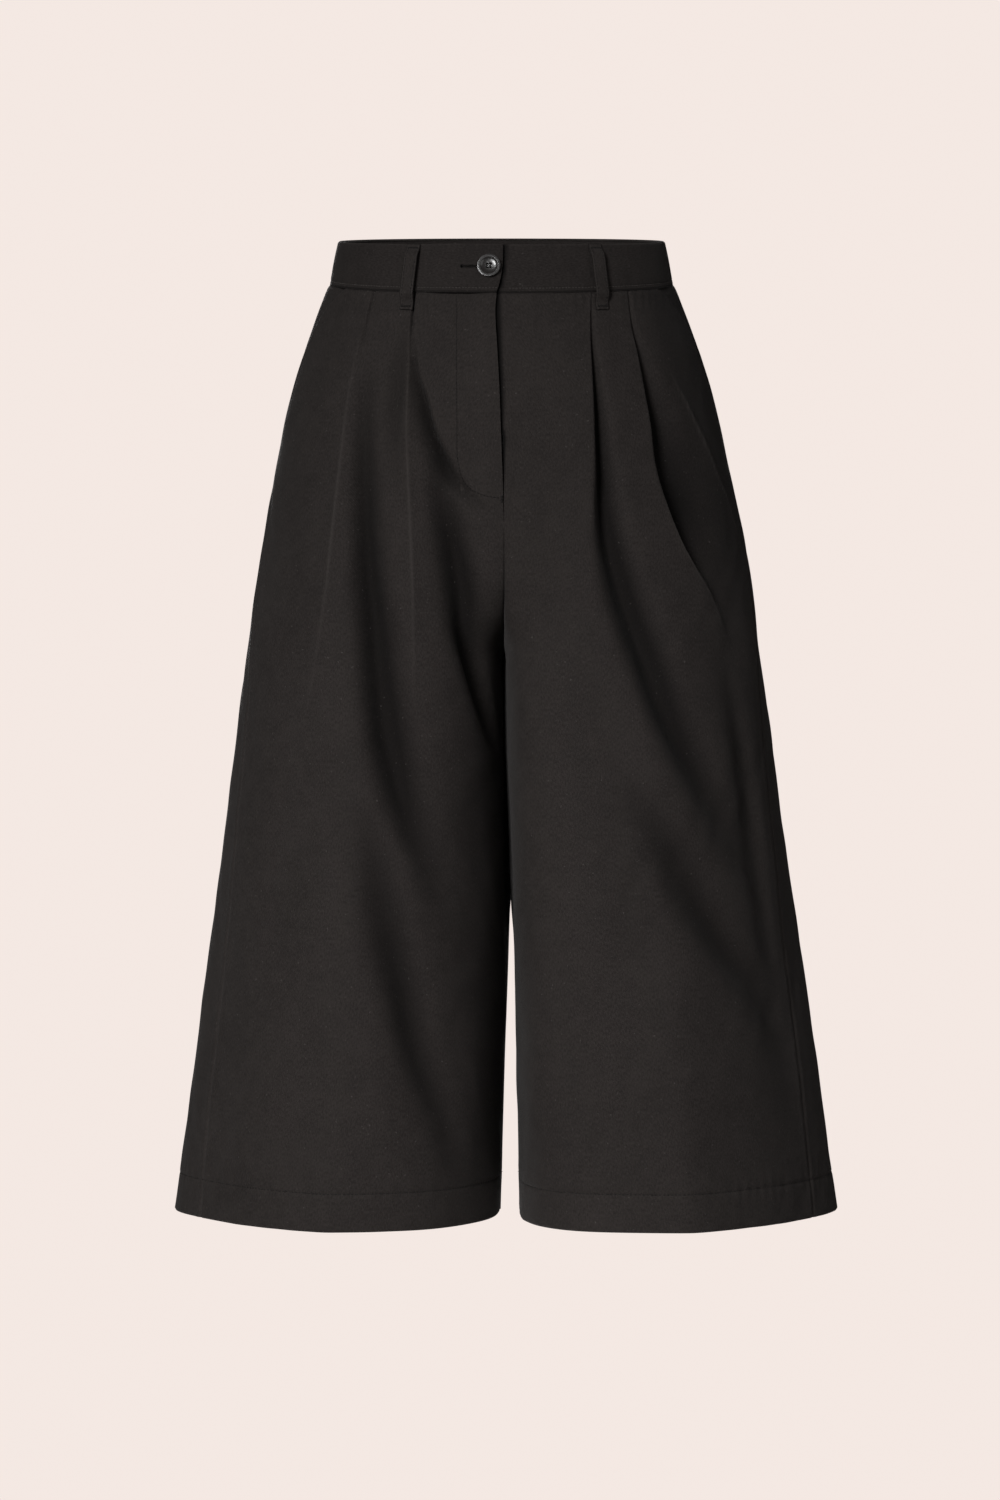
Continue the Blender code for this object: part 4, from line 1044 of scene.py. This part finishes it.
def makeFlyStrip(name, node, values, finish, coil=0.0):
    rows = []
    for drop in np.linspace(fly["start"], fly["length"], fly["rows"]):
        ring = makeRing(left, drop, values["reach"][right])
        centre = arcOfX(ring, 0.0)
        arcs = np.linspace(0.0, centre + values["reach"][left], 20)
        rows.append(clothRow(ring, arcs, -values["sink"] - coil * bell(arcs - centre, 0.0022), 0.0))
    return makeSheet(name, node, left, rows, values["wall"], finish)


facingPieces = {side: makeFacing(side) for side in (left, right)}
bagPieces = {side: makeBag(side) for side in (left, right)}
shieldPiece = makeFlyStrip("flyShield", "fly_shield", fly["shield"], blackTwill)
# the covered coil runs down the middle of the tape
zipPiece = makeFlyStrip("zipTape", "zip_tape", fly["zip"], blackLining, fly["coil"])
print("pockets and fly made")

# Belt loops

loop = {
    "width": 0.0108, "wall": 0.0015, "stand": 0.0040, "belowSeam": 0.0145, "tack": 0.005,
    "rise": 0.008, "lean": 0.006, "stitchInset": 0.0017,
    "edgeRoll": 0.0006, "stitchGroove": 0.00025, "endRoll": 0.0005,
    # pale just inside its edges (partly wear from pressing, partly painted highlight), with painted shade
    # on the edges and ends, where they turn under
    "shine": 0.4, "outline": 0.9, "outlineWidth": 0.0004,
    # columns and rows: how far each of the close ones lies from an edge or an end
    "besideEdge": (0.0, 0.0005, 0.0011, 0.0017, 0.0024), "across": (0.0035, 5),
    "besideEnd": (0.0, 0.0005, 0.0012), "down": (0.003, 24),
}

# side, distance from the centre line (none at the centre back), whether on the back, CAD node
loops = {
    "loopFront_left": (left, 0.071, False, "belt_loop_front_left"),
    "loopFront_right": (right, 0.069, False, "belt_loop_front_right"),
    "loopBack_left": (left, 0.086, True, "belt_loop_back_left"),
    "loopBack_right": (right, 0.086, True, "belt_loop_back_right"),
    "loopBack_centre": (left, None, True, "belt_loop_back_centre"),
}


def loopLift(drop, away):
    top, bottom = -garment["bandHeight"], loop["belowSeam"]
    fromTop = ease(drop - top, loop["tack"] / 2, loop["tack"] / 2 + loop["rise"])
    fromBottom = ease(bottom - drop, loop["tack"], loop["tack"] + loop["rise"])
    lift = garment["gap"] + loop["wall"] + loop["stand"] * min(fromTop, fromBottom)
    edge = loop["width"] / 2 - np.abs(away)
    lift = lift - loop["edgeRoll"] * bell(edge, 0.0006)
    lift = lift - loop["stitchGroove"] * bell(edge - loop["stitchInset"], 0.0007)
    return lift - loop["endRoll"] * bell(min(drop - top, bottom - drop), 0.0007)


def closeEnds(start, end, beside, inner):
    # places from start to end, closer together near both
    inset, count = inner
    middle = np.linspace(start + inset, end - inset, count)
    return np.array([*(start + at for at in beside), *middle, *(end - at for at in beside[::-1])])


def loopPoints(name, drop, aways):
    side, x, back, _ = loops[name]
    aways = np.atleast_1d(aways)
    lift = loopLift(drop, aways)
    if x is None:  # half of it lies on each side's rings
        halves = [ringPoints(ring, ring["length"] - np.abs(aways), lift)
                  for ring in (makeRing(left, drop), makeRing(right, drop))]
        return np.where((aways <= 0)[:, None], *halves)
    ring = makeRing(side, drop)
    down = (drop + garment["bandHeight"]) / (loop["belowSeam"] + garment["bandHeight"])
    return ringPoints(ring, arcOfX(ring, x + loop["lean"] * down, back) + aways, lift)


def makeLoop(name):
    side, _, _, node = loops[name]
    half = loop["width"] / 2
    aways = closeEnds(-half, half, loop["besideEdge"], loop["across"])
    drops = closeEnds(garment["gap"] - garment["bandHeight"], loop["belowSeam"],
                      loop["besideEnd"], loop["down"])
    edge, ends = half - np.abs(aways), np.minimum(drops - drops[0], drops[-1] - drops)
    # pale just inside each edge as a painted highlight, and painted shade on the edges and ends
    across = loop["shine"] * bell(edge - 0.0012, 0.0006)
    across = across - loop["outline"] * bell(edge, loop["outlineWidth"])
    rows = []
    for drop, end in zip(drops, ends):
        shineAndShade = np.clip(across - loop["outline"] * bell(end, loop["outlineWidth"]), -1, 1)
        flat = np.stack((aways, np.full_like(aways, -drop)), axis=-1)
        rows.append((loopPoints(name, drop, aways), flat, shineAndShade))
    return makeSheet(name, node, side, rows, loop["wall"])


loopPieces = {name: makeLoop(name) for name in loops}
print("belt loops made")

# The button and its thread

button = {
    "x": 0.0108, "rise": 0.0011, "diameter": 0.018, "thickness": 0.0032,
    "holeCircle": 0.0021, "holeRadius": 0.0009,
    # insets from its edge, and how far each sinks its face: rim, groove, dished middle
    "steps": ((0.0012, 0.0), (0.0009, 0.0), (0.0007, -0.0006), (0.0009, -0.0004), (0.0022, -0.0002)),
    "backInset": 0.0016, "backShare": 0.90, "backRise": 0.0007, "softEdge": 0.00028,
    # the slot and the eye of the buttonhole, and the box or cylinder that cuts them
    "slotLength": 0.024, "slotWidth": 0.0014, "slotShare": 0.3, "eyeInset": 0.003, "eyeRadius": 0.0009,
    "cutDepth": 0.012,
    "shankRadius": 0.0012, "shankLength": 0.0050, "shankPitch": 0.0009, "shankBulge": 0.10,
}
quarterTurn = Matrix.Rotation(math.radians(90), 4, "Z")


def placeOn(origin, along, out):
    # a frame on the cloth: X along the given direction, Z out
    along = (along - out * along.dot(out)).normalized()
    place = Matrix((along, out.cross(along), out)).transposed().to_4x4()
    place.translation = origin
    return place


def findButtonPlace():
    # origin on the band's outer face under the button, X along the band
    drop = -garment["bandHeight"] / 2 - button["rise"]
    step = button["diameter"] / 4
    ring, above = makeRing(right, drop), makeRing(right, drop - step)
    arc, arcAbove = arcOfX(ring, button["x"]), arcOfX(above, button["x"])
    origin, beside, up = (
        Vector(ringPoints(on, np.array([at]), band["lapLift"])[0])
        for on, at in ((ring, arc), (ring, arc - step), (above, arcAbove)))
    out = (beside - origin).cross(up - origin).normalized()
    if out.y > 0:
        out.negate()
    return placeOn(origin, beside - origin, out)


buttonPlace = findButtonPlace()


def settle(piece, place):
    # puts a finished piece in its place and leaves the place in its mesh
    piece.matrix_world = place
    setActive(piece)
    bpy.ops.object.transform_apply()


def addCylinder(sides, radius, depth, location=(0, 0, 0), rotation=(0, 0, 0)):
    bpy.ops.mesh.primitive_cylinder_add(
        vertices=sides, radius=radius, depth=depth, location=location, rotation=rotation)
    return bpy.context.object


def pickFaces(piece, test):
    # only the faces whose normal passes the test are left selected
    bpy.ops.object.mode_set(mode="OBJECT")
    for part in (*piece.data.vertices, *piece.data.edges):
        part.select = False
    for face in piece.data.polygons:
        face.select = test(face.normal)
    bpy.ops.object.mode_set(mode="EDIT")
    bpy.ops.mesh.select_mode(type="FACE")


def drill(piece, cutters):
    for cutter in cutters:
        hole = piece.modifiers.new("hole", "BOOLEAN")
        hole.operation = "DIFFERENCE"
        hole.solver = "EXACT"
        hole.object = cutter
        applyModifier(piece, hole)
        bpy.data.objects.remove(cutter)


def makeButton():
    radius, gap = button["diameter"] / 2, garment["gap"]
    depth = button["thickness"] - gap
    piece = addCylinder(72, radius, depth, (0, 0, gap + depth / 2))
    piece.name = piece.data.name = "buttonResin"
    bpy.ops.object.transform_apply()
    pickFaces(piece, lambda normal: normal.z > 0.9)
    for inset, sink in button["steps"]:
        bpy.ops.mesh.inset(thickness=inset)
        bpy.ops.transform.translate(value=(0, 0, sink))
    pickFaces(piece, lambda normal: normal.z < -0.9)
    bpy.ops.mesh.inset(thickness=button["backInset"])
    bpy.ops.object.mode_set(mode="OBJECT")
    for vertex in piece.data.vertices:  # the back is smaller than the front
        if vertex.co.z < gap + 0.0002 and math.hypot(vertex.co.x, vertex.co.y) > radius * 0.95:
            vertex.co.x *= button["backShare"]
            vertex.co.y *= button["backShare"]
            vertex.co.z += button["backRise"]
    turns = [math.radians(45 + 90 * number) for number in range(4)]
    circle, middle = button["holeCircle"], button["thickness"] / 2
    drill(piece, [addCylinder(20, button["holeRadius"], button["cutDepth"],
                              (circle * math.cos(turn), circle * math.sin(turn), middle))
                  for turn in turns])
    soft = piece.modifiers.new("softEdge", "BEVEL")
    soft.width = button["softEdge"]
    soft.segments = 3
    soft.limit_method = "ANGLE"
    soft.angle_limit = math.radians(24)
    applyModifier(piece, soft)
    bpy.ops.object.shade_smooth_by_angle(angle=math.radians(35))
    piece.data.materials.append(blackResin)
    settle(piece, buttonPlace)
    return claim(piece, "black_resin", "button")


def cutButtonhole(piece):
    bpy.ops.mesh.primitive_cube_add(size=1)
    slot = bpy.context.object
    width = button["slotWidth"] * button["slotShare"]
    slot.scale = (button["slotLength"] - 0.004, width, button["cutDepth"])
    slot.location = (0.001 - button["slotLength"] / 2, 0, 0)
    eye = addCylinder(16, button["eyeRadius"], button["cutDepth"],
                      (button["eyeInset"] - button["slotLength"], 0, 0))
    for cutter in (slot, eye):
        settle(cutter, buttonPlace @ cutter.matrix_basis)
    drill(piece, [slot, eye])


makeButton()
cutButtonhole(bandPieces[right])
print("button made")

# Stitches

stitch = {
    "length": 0.0019, "pitch": 0.0026, "thick": 0.00072, "sunk": 0.00006, "uneven": 0.00012,
    "middle": 0.62, "endLength": 0.19, "endDip": 0.30, "endTaper": 0.45,  # shares of its size
    "hemPitch": 0.0031, "every": 0.004, "waistTilt": 0.15, "look": 0.0008,
}


def makeOneStitch(length, thick, finish):
    # a short length of thread, pulled down at both ends
    piece = addCylinder(6, thick / 2, length * stitch["middle"], rotation=(0, math.radians(90), 0))
    bpy.ops.object.transform_apply()
    for sign in (1, -1):
        pickFaces(piece, lambda normal: normal.x * sign > 0.9)
        step = (sign * length * stitch["endLength"], 0, -thick * stitch["endDip"])
        bpy.ops.mesh.extrude_region_move(TRANSFORM_OT_translate={"value": step})
        bpy.ops.transform.resize(value=(1, stitch["endTaper"], stitch["endTaper"]))
    bpy.ops.object.mode_set(mode="OBJECT")
    bpy.ops.object.shade_smooth()
    piece.data.materials.append(finish)
    return piece


def joinPieces(pieces):
    bpy.ops.object.select_all(action="DESELECT")
    for piece in pieces:
        piece.select_set(True)
    bpy.context.view_layer.objects.active = pieces[0]
    bpy.ops.object.join()
    return bpy.context.object


def layStitches(name, places, length=stitch["length"], thick=stitch["thick"], finish=blackThread):
    # one modelled stitch, copied to every place with its own mesh, then joined
    model = makeOneStitch(length, thick, finish)
    copies = []
    for place in places:
        copy = model.copy()
        copy.data = model.data.copy()
        copy.matrix_world = place
        bpy.context.collection.objects.link(copy)
        copies.append(copy)
    bpy.data.objects.remove(model)
    piece = joinPieces(copies)
    piece.name = piece.data.name = name
    bpy.ops.object.transform_apply()
    claim(piece, "black_thread")
    return piece


def stitchPlaces(points, outs, pitch=stitch["pitch"]):
    # evenly spaced frames along a line on the cloth
    points, outs = np.asarray(points), np.asarray(outs)
    lengths = np.concatenate(([0], np.cumsum(np.linalg.norm(np.diff(points, axis=0), axis=1))))

    def read(values, at):
        return Vector([np.interp(at, lengths, values[:, k]) for k in range(3)])

    places = []
    for number, at in enumerate(np.arange(pitch / 2, lengths[-1], pitch)):
        at = at + stitch["uneven"] * math.sin(number * 2.4)
        out = read(outs, at).normalized()
        along = read(points, at + stitch["look"]) - read(points, at - stitch["look"])
        places.append(placeOn(read(points, at) + out * stitch["sunk"], along, out))
    return places


def outward(ring, arcs, tilt=0.0):
    return np.stack((np.interp(arcs, ring["arc"], ring["outX"]) * ring["side"],
                     np.interp(arcs, ring["arc"], ring["outY"]), np.full_like(arcs, tilt)), axis=-1)


def normalTowards(first, second, hint):
    out = np.cross(first, second)
    return out / np.linalg.norm(out) * (1 if np.dot(out, hint) > 0 else -1)


def frontLine(side, drops, arcAts):
    # points and outward directions along a line down a front
    points, outs = [], []
    for drop, arcAt in zip(drops, arcAts):
        ring, lower = makeRing(side, drop), makeRing(side, drop + stitch["look"])
        at, lowerAt = np.array([arcAt(ring)]), np.array([arcAt(lower)])
        point, beside, below = (
            ringPoints(on, arcs, frontLift(on, arcs))[0]
            for on, arcs in ((ring, at), (ring, at + stitch["look"]), (lower, lowerAt)))
        points.append(point)
        outs.append(normalTowards(below - point, beside - point, outward(ring, at)[0]))
    return points, outs


def sewWaist():
    places = []
    for side in (left, right):
        ring = makeRing(side, band["stitchDrop"])
        arcs = np.arange(stitch["every"], ring["length"] - 0.001, stitch["every"])
        points = ringPoints(ring, arcs, bandLift(side, band["stitchDrop"], arcs))
        places += stitchPlaces(points, outward(ring, arcs, stitch["waistTilt"]))
    # the waist stitches get the thread with the painted highlight
    layStitches("stitches_waist", places, finish=waistThreadPaintedHighlight)


def sewHem(side):
    ring = makeRing(side, garment["length"] - garment["hem"])
    arcs = np.arange(0.0, ring["length"], stitch["every"])
    lift = np.where(arcs < sideSeamArc(ring), frontLift(ring, arcs), backLift(ring, arcs))
    places = stitchPlaces(ringPoints(ring, arcs, lift), outward(ring, arcs), stitch["hemPitch"])
    layStitches("stitches_hem_" + sideNames[side], places)


# drop and distance from the centre line
flyStitch = metres((
    (2, 36), (60, 36), (127, 35.5), (140, 33.5), (148, 30), (154, 24.5), (157, 18.5), (159, 12),
    (160, 6), (160.2, 3)
))


def sewFly():
    corners = np.linspace(0, 1, len(flyStitch))
    drops, xs = (np.interp(np.linspace(0, 1, 60), corners, column) for column in zip(*flyStitch))
    places = stitchPlaces(*frontLine(right, drops, [lambda ring, x=x: arcOfX(ring, x) for x in xs]))
    # a bar across the end of the fly
    ends = np.linspace(0.1585, 0.1645, 9)
    bar = stitchPlaces(*frontLine(right, ends, [lambda ring: 0.0016] * 9), 0.0007)
    layStitches("stitches_fly", places + [place @ quarterTurn for place in bar])


def sewPocket(side):
    drops = np.linspace(0.003, front["mouthDrop"] - 0.002, 40)
    places = stitchPlaces(*frontLine(side, drops, [lambda ring: frontEdgeArc(ring) - 0.0045] * 40))
    layStitches("stitches_pocket_" + sideNames[side], places)


def sewLoop(name):
    top, bottom, half = -garment["bandHeight"], loop["belowSeam"], loop["width"] / 2
    hint = (0, 1 if loops[name][2] else -1, 0)
    places = []
    for away in (-half + loop["stitchInset"], half - loop["stitchInset"]):
        drops = np.linspace(top + 0.003, bottom - 0.002, 24)
        points = [loopPoints(name, drop, away)[0] for drop in drops]
        outs = []
        for drop in drops:
            before, after = loopPoints(name, drop, [away - 0.0004, away + 0.0004])
            below = loopPoints(name, drop + 0.0006, away)[0]
            outs.append(normalTowards(after - before, below - before, hint))
        places += stitchPlaces(points, outs)
    for drop in (bottom - 0.0026, top + 0.0036):
        points = loopPoints(name, drop, np.linspace(-half + 0.0012, half - 0.0012, 10))
        bar = stitchPlaces(points, [outs[0]] * len(points), 0.0008)
        places += [place @ quarterTurn for place in bar]
    layStitches("stitches_" + name, places, length=0.0018)


def sewButtonhole():
    places = []
    start, end = 0.0045 - button["slotLength"], button["diameter"] / 2 - 0.006
    beside = button["slotWidth"] / 2 * button["slotShare"] + 0.0005
    for sign in (1, -1):
        places += [Matrix.Translation((x, sign * beside, 0.0001)) @ quarterTurn
                   for x in np.arange(start, end, 0.00062)]
    eye = Vector((button["eyeInset"] - button["slotLength"], 0, 0.0001))
    for turn in np.radians(np.arange(50, 311, 24)):
        spot = Matrix.Translation(eye + Vector((math.cos(turn), math.sin(turn), 0)) * 0.0014)
        places.append(spot @ Matrix.Rotation(turn, 4, "Z"))
    places = [buttonPlace @ place for place in places]
    layStitches("stitches_buttonhole", places, length=0.0009, thick=0.00042)


def makeButtonThread():
    places = []
    side = button["holeCircle"] * math.cos(math.radians(45))
    for number in range(4):
        for shift in (-0.0002, 0.0002):
            spot = Matrix.Translation((side + shift, 0, button["thickness"] - 0.0010))
            turn = Matrix.Rotation(math.radians(90 * number), 4, "Z")
            places.append(buttonPlace @ turn @ spot @ quarterTurn)
    piece = layStitches("buttonThread", places, length=0.0026, thick=0.00042)
    # the wound shank behind the button
    shank = addCylinder(20, button["shankRadius"], button["shankLength"], (0, 0, -0.0024))
    bpy.ops.object.transform_apply()
    bpy.ops.object.mode_set(mode="EDIT")
    for height in np.arange(-0.0046, 0.0, button["shankPitch"] / 2):
        bpy.ops.mesh.select_all(action="SELECT")
        bpy.ops.mesh.bisect(plane_co=(0, 0, height), plane_no=(0, 0, 1))
    bpy.ops.object.mode_set(mode="OBJECT")
    for vertex in shank.data.vertices:
        bulge = 1 + button["shankBulge"] * math.sin(vertex.co.z / button["shankPitch"] * 2 * math.pi)
        vertex.co.x *= bulge
        vertex.co.y *= bulge
    bpy.ops.object.shade_smooth()
    shank.data.materials.append(blackThread)
    settle(shank, buttonPlace)
    return claim(joinPieces([piece, shank]), "black_thread", "button_thread")


sewWaist()
for side in (left, right):
    sewHem(side)
sewFly()
for side in (left, right):
    sewPocket(side)
for name in loops:
    sewLoop(name)
sewButtonhole()
makeButtonThread()
